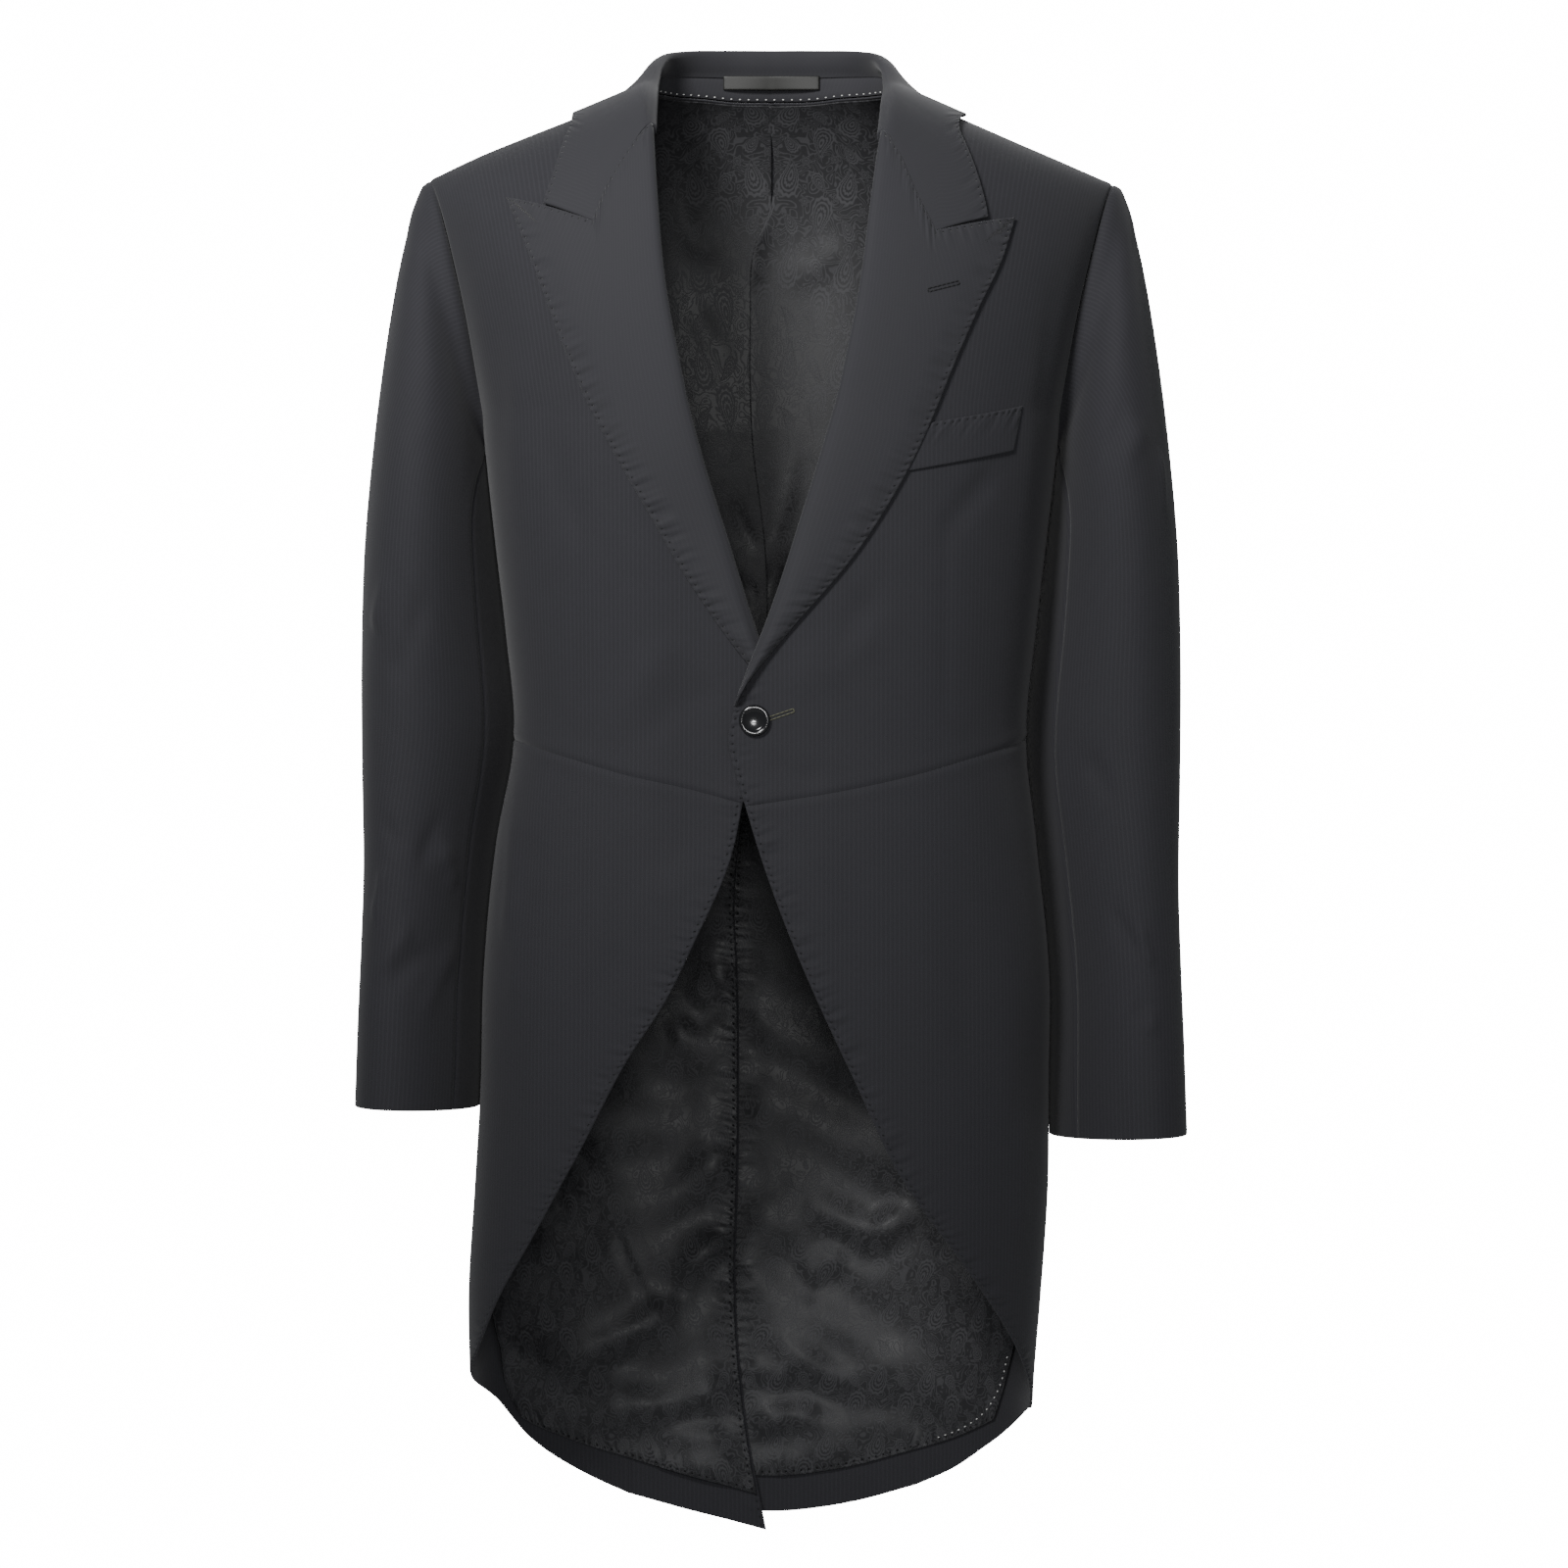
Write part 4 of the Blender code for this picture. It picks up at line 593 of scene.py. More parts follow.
def patch(bottom, top, inner, outer, hold=4):
    """Places of a piece between its four edges; rows go up and columns go outwards.

    The bend of the bottom and top edges dies away into the piece, the sooner the higher hold is.
    """
    u = np.linspace(0, 1, len(bottom))[None, :, None]
    v = np.linspace(0, 1, len(inner))[:, None, None]
    grid = (1 - u) * inner[:, None] + u * outer[:, None]
    for edge, share in ((bottom, (1 - v) ** hold), (top, v**hold)):
        grid += share * (edge - (1 - u[0]) * edge[0] - u[0] * edge[-1])[None]
    return grid


def sheet_normals(points):
    """Normals of a grid of points."""
    across = np.gradient(points, axis=1)
    along = np.gradient(points, axis=0)
    normal = np.cross(across, along)
    return normal / np.linalg.norm(normal, axis=-1, keepdims=True)


# ---------------------------------------------------------------- seams and panels


def armhole_turn(height, way):
    """Turn of the armhole's edge at this height, on its front or back half."""
    low = np.clip((ARMHOLE_WIDE - height) / (ARMHOLE_WIDE - ARMHOLE_FOOT), 0, 1)
    wide = ARMHOLE[way] * (1 - low**2.3) ** (1 / 2.3)
    return 90 - wide if way == "front" else 90 + wide


def armhole_run(side, way, start, end, cells):
    heights = np.linspace(start, end, 40)
    return run(side, np.column_stack([armhole_turn(heights, way), heights]), cells, smooth=False)


def seams(side):
    """Every seam of one side, as runs of places that the pieces on both sides of it share."""
    at = {}
    back_start = SIDE_BACK[-1][1]
    top = SHOULDER_LINE
    at["armhole_front"] = armhole_run(side, "front", UNDERARM_TOP, top, YOKE_ROWS)
    at["armhole_back"] = armhole_run(side, "back", back_start, top, YOKE_ROWS)
    dip = np.linspace(UNDERARM_TOP, ARMHOLE_FOOT, 12)
    rise = np.linspace(ARMHOLE_FOOT, back_start, 40)[1:]
    foot = np.concatenate([
        np.column_stack([armhole_turn(dip, "front"), dip]),
        np.column_stack([armhole_turn(rise, "back"), rise]),
    ])
    at["armhole_foot"] = run(side, foot, SIDE_COLS, smooth=False)
    at["side_back"] = run(side, SIDE_BACK[:-1] + (tuple(at["armhole_back"][0]),), WAIST_ROWS)
    underarm = ((UNDERARM_TURN, WAIST_SIDE[0][1]), (UNDERARM_TURN, -0.33), at["armhole_front"][0])
    at["underarm"] = run(side, underarm, WAIST_ROWS)
    hem = np.concatenate([[(90, SIDE_HEM[side])], places(side, HEM[side], behind=True)])
    at["hem_skirt"] = run(side, hem[: HEM_SPLIT + 1], FRONT_COLS + SIDE_COLS)
    at["hem_back"] = run(side, hem[HEM_SPLIT:], FRONT_COLS)
    at["tail_seam"] = run(side, TAIL_SEAM + (tuple(hem[HEM_SPLIT]),), TAIL_ROWS)
    at["cutaway"] = run(
        side, np.concatenate([places(side, CUTAWAY[side]), [(90, SIDE_HEM[side])]]), TAIL_ROWS)
    waist = np.concatenate([
        places(side, CUTAWAY[side][:1] + WAIST_FRONT), [WAIST_SIDE[0]]])
    at["waist_front"] = run(side, waist, FRONT_COLS)
    at["waist_side"] = run(side, WAIST_SIDE, SIDE_COLS)
    edge = places(side, FRONT_EDGE[side])
    roll = places(side, tuple((x + NOSE_REACH, z) for x, z in ROLL_LINE[side]))
    edge[-1] = roll[0]
    at["roll"] = run(side, roll, ROLL_ROWS)
    at["front_edge"] = joined(run(side, edge, WAIST_ROWS + YOKE_ROWS - ROLL_ROWS), at["roll"])
    neck_turn = 90 * np.interp(NECK_X / YOKE[-1, 1], GIRTH[1], GIRTH[0])
    end_turn = 90 - ARMHOLE["front"]
    share = np.linspace(0, 1, SHOULDER_COLS + 1)
    xs = on_form(side, (neck_turn, end_turn), (top, top))[:, 0] * SIGN[side]
    xs = xs[0] + (xs[1] - xs[0]) * share
    turns = 90 * np.interp(xs / YOKE[-1, 1], GIRTH[1], GIRTH[0])
    at["shoulder_front"] = np.column_stack([turns, np.full_like(turns, top)])
    back_turns = 180 - turns
    at["shoulder_back"] = np.column_stack([back_turns, np.full_like(turns, top)])
    neck = (roll[-1], (neck_turn + NECK_DIP, top - 0.025), (neck_turn, top))
    at["neck_front"] = run(side, neck, NECK_COLS)
    centre = place(side, 0.0, NECK_BACK, behind=True)
    at["neck_back"] = run(
        side, (centre, *places(side, NECK_SEAM, behind=True), (180 - neck_turn, top)), NECK_COLS)
    vent = places(side, VENT[side], behind=True)
    at["vent"] = run(side, vent, TAIL_ROWS)
    at["centre_back"] = run(side, (at["vent"][-1], (180, -0.25), centre), WAIST_ROWS + YOKE_ROWS)
    return at


def panels(side):
    """Grids of places for the shell's pieces of one side."""
    at = seams(side)
    at["armhole_front"][-1] = at["shoulder_front"][-1]
    at["armhole_back"][-1] = at["shoulder_back"][-1]
    grids = {
        "forepart": patch(
            at["waist_front"], joined(at["neck_front"], at["shoulder_front"]),
            at["front_edge"], joined(at["underarm"], at["armhole_front"])),
        "side_body": patch(at["waist_side"], at["armhole_foot"], at["underarm"], at["side_back"]),
        "skirt": patch(
            at["hem_skirt"], joined(at["waist_front"], at["waist_side"]),
            at["cutaway"][::-1], at["tail_seam"][::-1], hold=1),
        "back": patch(
            at["hem_back"][::-1], joined(at["neck_back"], at["shoulder_back"]),
            joined(at["vent"], at["centre_back"]),
            joined(at["tail_seam"][::-1], at["side_back"], at["armhole_back"])),
    }
    return at, grids


PANELS = {side: panels(side) for side in SIDES}


# ---------------------------------------------------------------- lapels and collar


def gorge_line(side, at, cells):
    return run(side, np.concatenate([at["roll"][-1:], places(side, GORGE[side][1:])]), cells)


def clear_of_form(point, least):
    """The point, moved out where it lies less than this off the yoke."""
    for _ in range(6):
        here = height_over(point)
        step = 0.0005
        slope = np.array([(height_over(point + step * d) - here) / step for d in np.eye(3)])
        steep = np.linalg.norm(slope)
        away = here / steep
        if away >= least:
            break
        point = point + slope / steep * (least - away)
    return point


def height_over(point):
    """Above 0 outside the yoke's form, below 0 inside it."""
    x, y, z = point
    top = ridge(x)[0]
    up = max((z - YOKE_FOOT) / (top - YOKE_FOOT), 0.0)
    share = np.interp(min(up, 1), OVER[1], OVER[0])
    half = smooth_between(YOKE, share)[0, 0]
    along = np.interp(min(abs(x) / half, 1), GIRTH[1], GIRTH[2])
    depth = BODY[-1, 3] if y < RIDGE_Y else BODY[-1, 4]
    deep = (abs(y - RIDGE_Y) / (depth * along + (RIDGE_Y if y < RIDGE_Y else -RIDGE_Y)))
    return (up**OVER_SQUARE + deep**OVER_SQUARE) ** (1 / OVER_SQUARE) - 1


def even_line(points, cells):
    """Points evenly spaced along a smooth curve in space."""
    points = np.asarray(points, float)
    gaps = np.linalg.norm(np.diff(points[:, :3], axis=0), axis=1)
    length = np.append(0, np.cumsum(gaps))
    return smooth_between(np.column_stack([length, points]), np.linspace(0, length[-1], cells + 1))


def collar_half(side, at):
    """Fold, outer edge and turn-in of one half of the collar leaf, from the centre back to its end."""
    sign = SIGN[side]
    corner = place(side, *COLLAR_CORNER[side])
    end = at["roll"][-1]
    roll_end = cloth(side, end[None])[0]
    fold = [(x * sign, y, z, turn_in) for x, y, z, turn_in in FOLD]
    middle = (fold[-1][:3] + roll_end) / 2 + np.array((0.0, -0.004, 0.002))
    fold += [(*middle, 0.0), (*roll_end, 0.0)]
    fold = even_line(fold, COLLAR_COLS)
    fold[:, 3] = np.clip(fold[:, 3], 0, 1)
    edge = list(cloth(side, places(side, COLLAR_BACK_EDGE[::-1], behind=True), LEAF_LIFT))
    shoulder = LEAF_SHOULDER_X * sign
    edge.append(np.array((shoulder, RIDGE_Y - 0.004, ridge(shoulder)[0] + LEAF_LIFT)))
    edge += list(cloth(side, places(side, COLLAR_EDGE[side][::-1]), LEAF_LIFT))
    edge += list(cloth(side, corner[None], LEAF_LIFT))
    edge = even_line(edge, COLLAR_COLS)
    gorge = gorge_line(side, at, 4 * LEAF_NOTCH_ROW)[1:]
    kept = np.linspace(0, len(gorge) - 1, LEAF_NOTCH_ROW + 1).round().astype(int)
    notch = run(side, (gorge[-1], corner), LEAF_ROWS - 1 - LEAF_NOTCH_ROW)
    end_line = joined(gorge[kept], notch)
    return fold, edge, cloth(side, end_line, LEAF_LIFT)


# The leaf's section in the back, where it turns inside, and at its front ends, where it hardly does:
# across from the fold and out from it
LEAF_TURN = np.array((
    (0.0140, -0.0050, -0.0008, -0.0048),
    (0.0042, -0.0048, -0.0028, -0.0030),
    (-0.0034, -0.0012, -0.0036, -0.0004),
    (-0.0008, 0.0022, -0.0010, 0.0024),
))


def leaf_section(fold, edge, tangent, share_end, end_line):
    """Points of the leaf across one column, from the inner seam to the outer edge."""
    across = edge - fold[:3]
    across /= np.linalg.norm(across)
    normal = np.cross(tangent, across)
    normal /= np.linalg.norm(normal)
    turn = LEAF_TURN[:, 2:] + (LEAF_TURN[:, :2] - LEAF_TURN[:, 2:]) * fold[3]
    points = [fold[:3] + across * a + normal * out for a, out in turn]
    start = fold[:3] + across * LEAF_START[0] + normal * LEAF_START[1]
    for i, t in enumerate(np.linspace(0, 1, LEAF_ROWS)):
        point = start + (edge - start) * t - normal * LEAF_SAG * 4 * t * (1 - t)
        point += (end_line[i] - point) * share_end
        points.append(clear_of_form(point, LEAF_LIFT))
    return points


def ring_angles(start, row):
    """The angle of each armhole point round the first oval, growing from the shoulder to the back."""
    ox, oz, ix, iz, deep, middle = row[:6]
    half = Vector((ox - ix, 0, oz - iz)) / 2
    centre = Vector((ox + ix, 2 * middle, oz + iz)) / 2
    angles = []
    for point in start:
        off = Vector(point) - centre
        angles.append(atan2(off.y / deep, off.dot(half) / half.length_squared))
    return np.unwrap(np.array(angles))


# ---------------------------------------------------------------- finer grids and worked edges


def spaced(length, cells):
    """Distances along a length: close together at both ends and even between."""
    ends = EDGE_STEPS * min(1, length / 0.02)
    middle = np.linspace(ends[-1], length - ends[-1], cells + 1)
    return np.concatenate([ends[:-1], middle, (length - ends[:-1])[::-1]])


def respaced(grid, to_points):
    """Each row laid out again by its length of cloth, with the distances from both of its ends."""
    points = to_points(grid)
    gaps = np.linalg.norm(np.diff(points, axis=1), axis=2)
    lengths = np.concatenate([np.zeros((len(grid), 1)), np.cumsum(gaps, axis=1)], axis=1)
    cells = max(2, round(lengths[:, -1].max() / CELL))
    rows, starts, ends = [], [], []
    for values, length in zip(grid, lengths):
        at = spaced(length[-1], cells)
        rows.append(np.column_stack([np.interp(at, length, column) for column in values.T]))
        starts.append(at)
        ends.append(length[-1] - at)
    return np.array(rows), np.array(starts), np.array(ends)


def refined(grid, to_points):
    """The grid laid out again at the cloth's spacing, and each point's distance from its four edges.

    The edges are inner and outer, across the rows, and bottom and top, along the columns.
    """
    wide, from_inner, from_outer = respaced(grid, to_points)
    carried = np.concatenate([wide, from_inner[..., None], from_outer[..., None]], axis=2)
    tall, from_bottom, from_top = respaced(np.swapaxes(carried, 0, 1), to_points)
    tall = np.swapaxes(tall, 0, 1)
    edges = {
        "inner": tall[..., -2], "outer": tall[..., -1],
        "bottom": from_bottom.T, "top": from_top.T,
    }
    return tall[..., :-2], edges


def worked(edges, turned, seamed, wall):
    """Heights of the outer and inner skins over the cloth's middle, with its edges worked.

    A turned edge is rounded over. A seam dips into a groove with a soft ridge beside it.
    """
    half = np.full(edges["inner"].shape, wall / 2)
    for edge, share in turned:
        close = 1 - np.clip(edges[edge] / TURN_R, 0, 1)
        half = half * (1 - share * (1 - TURN_THIN) * (1 - np.sqrt(1 - close**2)))
    sink = np.zeros_like(half)
    for edge, share in seamed:
        away = edges[edge]
        groove = SEAM_RIDGE * np.exp(-(((away - 0.005) / 0.003) ** 2))
        groove = groove - SEAM_DIP * np.exp(-((away / 0.0014) ** 2))
        sink = sink + groove * share
    return half + sink, sink * 0.4 - half


def crease_depth(lines, at):
    """How far soft ridges and troughs move the cloth. at holds metric places on it.

    Each line is (depth, half width, places), a depth below 0 being a trough.
    """
    depth = np.zeros(at.shape[:2])
    for deep, half, line in lines:
        line = np.array(line, float)
        share = np.linspace(0, len(line) - 1, 14 * (len(line) - 1) + 1)
        table = np.column_stack([np.arange(len(line)), line])
        fine = smooth_between(table, share)
        off = np.linalg.norm(at[:, :, None] - fine, axis=-1)
        nearest = off.argmin(axis=2)
        t = nearest / (len(fine) - 1)
        fade = ramp(t, 0, 0.3) * ramp(t, 1, 0.7) * 0.85 + 0.15
        uneven = 1 + 0.18 * np.sin(9 * t + 40 * deep / half)
        depth += deep * fade * uneven * np.exp(-((off.min(axis=2) / (half * (0.75 + 0.25 * uneven))) ** 2))
    return depth


def girth(side, turn, height):
    """Distance round the body from the centre front to this turn, at this height."""
    section = smooth_between(BODY, np.minimum(height, YOKE_FOOT).ravel())
    half = section[:, 0 if side == "right" else 1][:, None]
    share, across, along = (values[::8] for values in GIRTH)
    quarters = np.abs(turn).ravel() / 90
    lengths = []
    for deep in (section[:, 2:3], section[:, 3:4]):
        gaps = np.hypot(half * np.diff(across), deep * np.diff(along))
        lengths.append(np.concatenate([np.zeros((len(gaps), 1)), np.cumsum(gaps, axis=1)], axis=1))
    near = np.where(quarters <= 1, quarters, 2 - quarters)
    near = np.abs(near)
    found = np.empty(len(quarters))
    for i, q in enumerate(near):
        table = lengths[0 if quarters[i] <= 1 else 1][i]
        here = np.interp(q, share, table)
        behind = lengths[0][i, -1] + table[-1]
        if quarters[i] <= 1:
            found[i] = here
        elif quarters[i] <= 2:
            found[i] = behind - here
        else:
            found[i] = behind + here
    return found.reshape(turn.shape) * np.sign(np.where(turn == 0, 1, turn))


# ---------------------------------------------------------------- pieces of cloth


def add_cloth(name, outer, inner, finish, uv, stitch):
    """A double skin of cloth: a grid pushed out into a slab, its two skins moved to these points.

    uv is in metres. stitch holds each point's distance from its stitched edge and along it.
    """
    rows, cols = outer.shape[:2]
    bm = bmesh.new()
    bmesh.ops.create_grid(bm, x_segments=cols - 1, y_segments=rows - 1, size=0.5)
    made = bmesh.ops.extrude_face_region(bm, geom=bm.faces[:], use_keep_orig=True)
    pushed = {part for part in made["geom"] if isinstance(part, bmesh.types.BMVert)}
    spots = []
    for vert in bm.verts:
        row = round((vert.co.y + 0.5) * (rows - 1))
        col = round((vert.co.x + 0.5) * (cols - 1))
        spots.append((row, col))
        vert.co = (inner if vert in pushed else outer)[row, col]
    made = add_piece(name, bm, finish)
    spots = np.array(spots)
    corner = np.empty(len(made.data.loops), int)
    made.data.loops.foreach_get("vertex_index", corner)
    layer = made.data.uv_layers.new(name="cloth")
    layer.uv.foreach_set("vector", uv[spots[corner, 0], spots[corner, 1]].astype(np.float32).ravel())
    for label, values in zip(("stitch_off", "stitch_along"), stitch):
        stored = made.data.attributes.new(label, "FLOAT", "POINT")
        stored.data.foreach_set("value", values[spots[:, 0], spots[:, 1]].astype(np.float32))
    return made


def add_piece(name, bm, finish):
    """A mesh of the part: faces out, smooth and riding on the body."""
    bmesh.ops.recalc_face_normals(bm, faces=bm.faces[:])
    if bm.calc_volume(signed=True) < 0:
        bmesh.ops.reverse_faces(bm, faces=bm.faces[:])
    mesh = bpy.data.meshes.new(name)
    bm.to_mesh(mesh)
    bm.free()
    mesh.shade_smooth()
    mesh.materials.append(bpy.data.materials[finish])
    made = bpy.data.objects.new(name, mesh)
    bpy.context.scene.collection.objects.link(made)
    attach(made, "root")
    return made


def stitch_line(edges, stitched):
    """Distance from the nearest stitched edge, and along it."""
    if not stitched:
        return np.ones_like(edges["inner"]), np.zeros_like(edges["inner"])
    along = {"inner": "bottom", "outer": "bottom", "bottom": "inner", "top": "inner"}
    off = np.stack([edges[edge] for edge in stitched])
    nearest = off.argmin(axis=0)
    run_ = np.stack([edges[along[edge]] for edge in stitched])
    return off.min(axis=0), np.take_along_axis(run_, nearest[None], axis=0)[0]


def declare(node):
    """Hides the imported solid of this name."""
    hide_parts(node)


def panel_cloth(name, side, grid, finish, wall=WALL, lift=0.0, turned=(), seamed=(), stitched=(),
                lines=(), behind=False, swell=None):
    """A panel on the form. lift is to its outer side; swell adds to that, place by place."""
    fine, edges = refined(grid, lambda values: on_form(side, values[..., 0], values[..., 1]))
    turned = [(edge, share(fine) if callable(share) else share) for edge, share in turned]
    seamed = [(edge, share(fine) if callable(share) else share) for edge, share in seamed]
    over, under = worked(edges, turned, seamed, wall)
    flat = np.stack([girth(side, fine[..., 0], fine[..., 1]), fine[..., 1]], -1)
    middle = lift - wall / 2 + crease_depth(metric_lines(side, lines, behind), flat)
    if swell is not None:
        middle = middle + swell(side, fine, edges)
    return add_cloth(
        name, cloth(side, fine, middle + over), cloth(side, fine, middle + under), finish, flat,
        stitch_line(edges, stitched))


def metric_lines(side, lines, behind):
    """Creases given as (depth, half width, (x, z) places) put in metric places."""
    placed = []
    for deep, half, line in lines:
        spots = places(side, line, behind)
        placed.append((deep, half, np.column_stack([girth(side, spots[:, 0], spots[:, 1]), spots[:, 1]])))
    return placed


def below_vent(fine):
    """1 where the back's edge is a free, turned one, under the vent's head."""
    return ramp(fine[..., 1], *VENT_FREE)


def above_vent(fine):
    return 1 - below_vent(fine)


# The shell's pieces: how their edges are worked, flat size, area, and the pieces that each rests on
SHELL = {
    "forepart": (
        {"turned": [("inner", 1)], "seamed": [("outer", 1), ("bottom", 1), ("top", 1)],
         "stitched": ["inner"]},
        (0.27, 0.56), 0.094, ("side_body", "back")),
    "side_body": (
        {"seamed": [("inner", 1), ("outer", 1), ("bottom", 1), ("top", 1)]},
        (0.20, 0.24), 0.040, ("forepart", "back")),
    "skirt": (
        {"turned": [("inner", 1), ("bottom", 1)], "seamed": [("outer", 1), ("top", 1)],
         "stitched": ["inner"]},
        (0.42, 0.56), 0.153, ("forepart", "back")),
    "back": (
        {"turned": [("inner", below_vent), ("bottom", 1)],
         "seamed": [("inner", above_vent), ("outer", 1), ("top", 1)], "stitched": ["inner"]},
        (0.24, 1.04), 0.122, ("side_body",)),
}


def add_shell(piece, finish):
    """The right and left pieces of this kind."""
    edges, flat, area, neighbours = SHELL[piece]
    for side in SIDES:
        made = panel_cloth(
            f"sewn_{piece}_{side}", side, PANELS[side][1][piece], finish,
            lines=CREASES.get((piece, side), ()), **edges)
        declare(f"{piece}_{side}")


# The turned edge of the lapel: across from the forepart's edge and up from it, in its middle
NOSE = ((-0.0016, -0.0017), (-0.0024, -0.0006), (-0.0026, 0.0008), (-0.0021, 0.0022), (-0.0008, 0.0031))
LAPEL_BELLY = 0.0030  # how far the roll stands off, where it is softest


def add_lapels(finish):
    for side in SIDES:
        at = PANELS[side][0]
        roll = at["roll"]
        edge = run(side, places(side, LAPEL_EDGE[side]), ROLL_ROWS)
        gorge = gorge_line(side, at, LAPEL_CELLS // 2)
        notch = run(side, (gorge[-1], edge[-1]), LAPEL_CELLS - LAPEL_CELLS // 2)
        foot = run(side, (roll[0], edge[0]), LAPEL_CELLS)
        grid = patch(foot, joined(gorge, notch), roll, edge)
        share_up = np.linspace(0, 1, len(grid))[:, None]
        share_out = np.linspace(0, 1, LAPEL_CELLS + 1)[None]
        belly = LAPEL_BELLY * np.sin(pi * share_out**0.6) * (1 - 0.55 * share_up)
        lift = LAPEL_LIFT + WALL / 2 + belly - 0.0010 * ramp(share_out, 0.7, 1.0)
        middle = cloth(side, grid, lift)
        across = cloth(side, grid[:, 4]) - cloth(side, grid[:, 0])
        across /= np.linalg.norm(across, axis=-1, keepdims=True)
        normal = outward(side, grid[:, 0, 0], grid[:, 0, 1])
        at_roll = cloth(side, grid[:, 0])
        nose = np.stack([at_roll + across * a + normal * up for a, up in NOSE], 1)
        points = np.concatenate([nose, middle[:, 1:]], axis=1)
        made = spatial_cloth(
            f"rolled_lapel_{side}", points, finish, WALL, -SIGN[side],
            turned=[("outer", 1), ("bottom", 1), ("top", 1)], stitched=["outer", "top"])
        declare(f"lapel_{side}")


def spatial_cloth(name, points, finish, wall, facing, turned=(), seamed=(), stitched=()):
    """A sheet through a grid of points in space; facing is the side of it that shows."""
    fine, edges = refined(points, lambda values: values[..., :3])
    normal = sheet_normals(fine[..., :3]) * facing
    over, under = worked(edges, turned, seamed, wall)
    uv = np.stack([edges["inner"], edges["bottom"]], -1)
    stitch = stitch_line(edges, stitched)
    outer = fine[..., :3] + normal * over[..., None]
    inner = fine[..., :3] + normal * under[..., None]
    return add_cloth(name, outer, inner, finish, uv, stitch)


def collar_middle(all_at):
    """The middle of the collar leaf as a grid: rows from its inner seam to its outer edge."""
    sections = []
    for side in SIDES:
        fold, edge, end_line = collar_half(side, all_at[side])
        tangent = np.gradient(fold[:, :3], axis=0) * SIGN[side]
        half = []
        for i in range(COLLAR_COLS + 1):
            bend = max(0.0, 1 - (COLLAR_COLS - i) / LEAF_BEND_COLS)
            half.append(leaf_section(fold[i], edge[i], tangent[i], bend, end_line))
        half = np.array(half)
        sections.append(half[::-1] if side == "right" else half[1:])
    return np.moveaxis(np.concatenate(sections), 0, 1)


def rounded_rows(points, rows):
    """Each column of a grid made a smooth curve of this many rows."""
    columns = []
    for column in np.moveaxis(points, 1, 0):
        length = np.append(0, np.cumsum(np.linalg.norm(np.diff(column, axis=0), axis=1)))
        columns.append(smooth_between(np.column_stack([length, column]), np.linspace(0, length[-1], rows)))
    return np.moveaxis(np.array(columns), 0, 1)


def add_collar(finish):
    all_at = {side: PANELS[side][0] for side in SIDES}
    leaf = rounded_rows(collar_middle(all_at), LEAF_FINE_ROWS)
    made = spatial_cloth(
        "rolled_collar_leaf", leaf, finish, COLLAR_WALL, -1, turned=[("top", 1), ("inner", 1), ("outer", 1)],
        seamed=[("bottom", 1)], stitched=["top"])
    declare("collar_leaf")


def stand_edges():
    """The collar stand's two long edges: the neck seam and the leaf's turned-in edge."""
    all_at = {side: PANELS[side][0] for side in SIDES}
    top = collar_middle(all_at)[0][STAND_ENDS:-STAND_ENDS]
    keep = COLLAR_COLS - STAND_ENDS
    neck = []
    for side in SIDES:
        line = run(side, all_at[side]["neck_back"], keep)
        points = cloth(side, line, -0.0010)
        neck.append(points[::-1] if side == "right" else points[1:])
    return np.concatenate(neck) + np.array((0, 0, 0.0012)), top


def add_stand(finish):
    neck, top = stand_edges()
    rows = np.linspace(0, 1, STAND_ROWS)[:, None, None]
    middle = neck[None] * (1 - rows) + top[None] * rows
    made = spatial_cloth(
        "sewn_collar_stand", middle, finish, STAND_WALL, 1, seamed=[("bottom", 1), ("top", 1)])
    declare("collar_stand")


# ---------------------------------------------------------------- sleeves


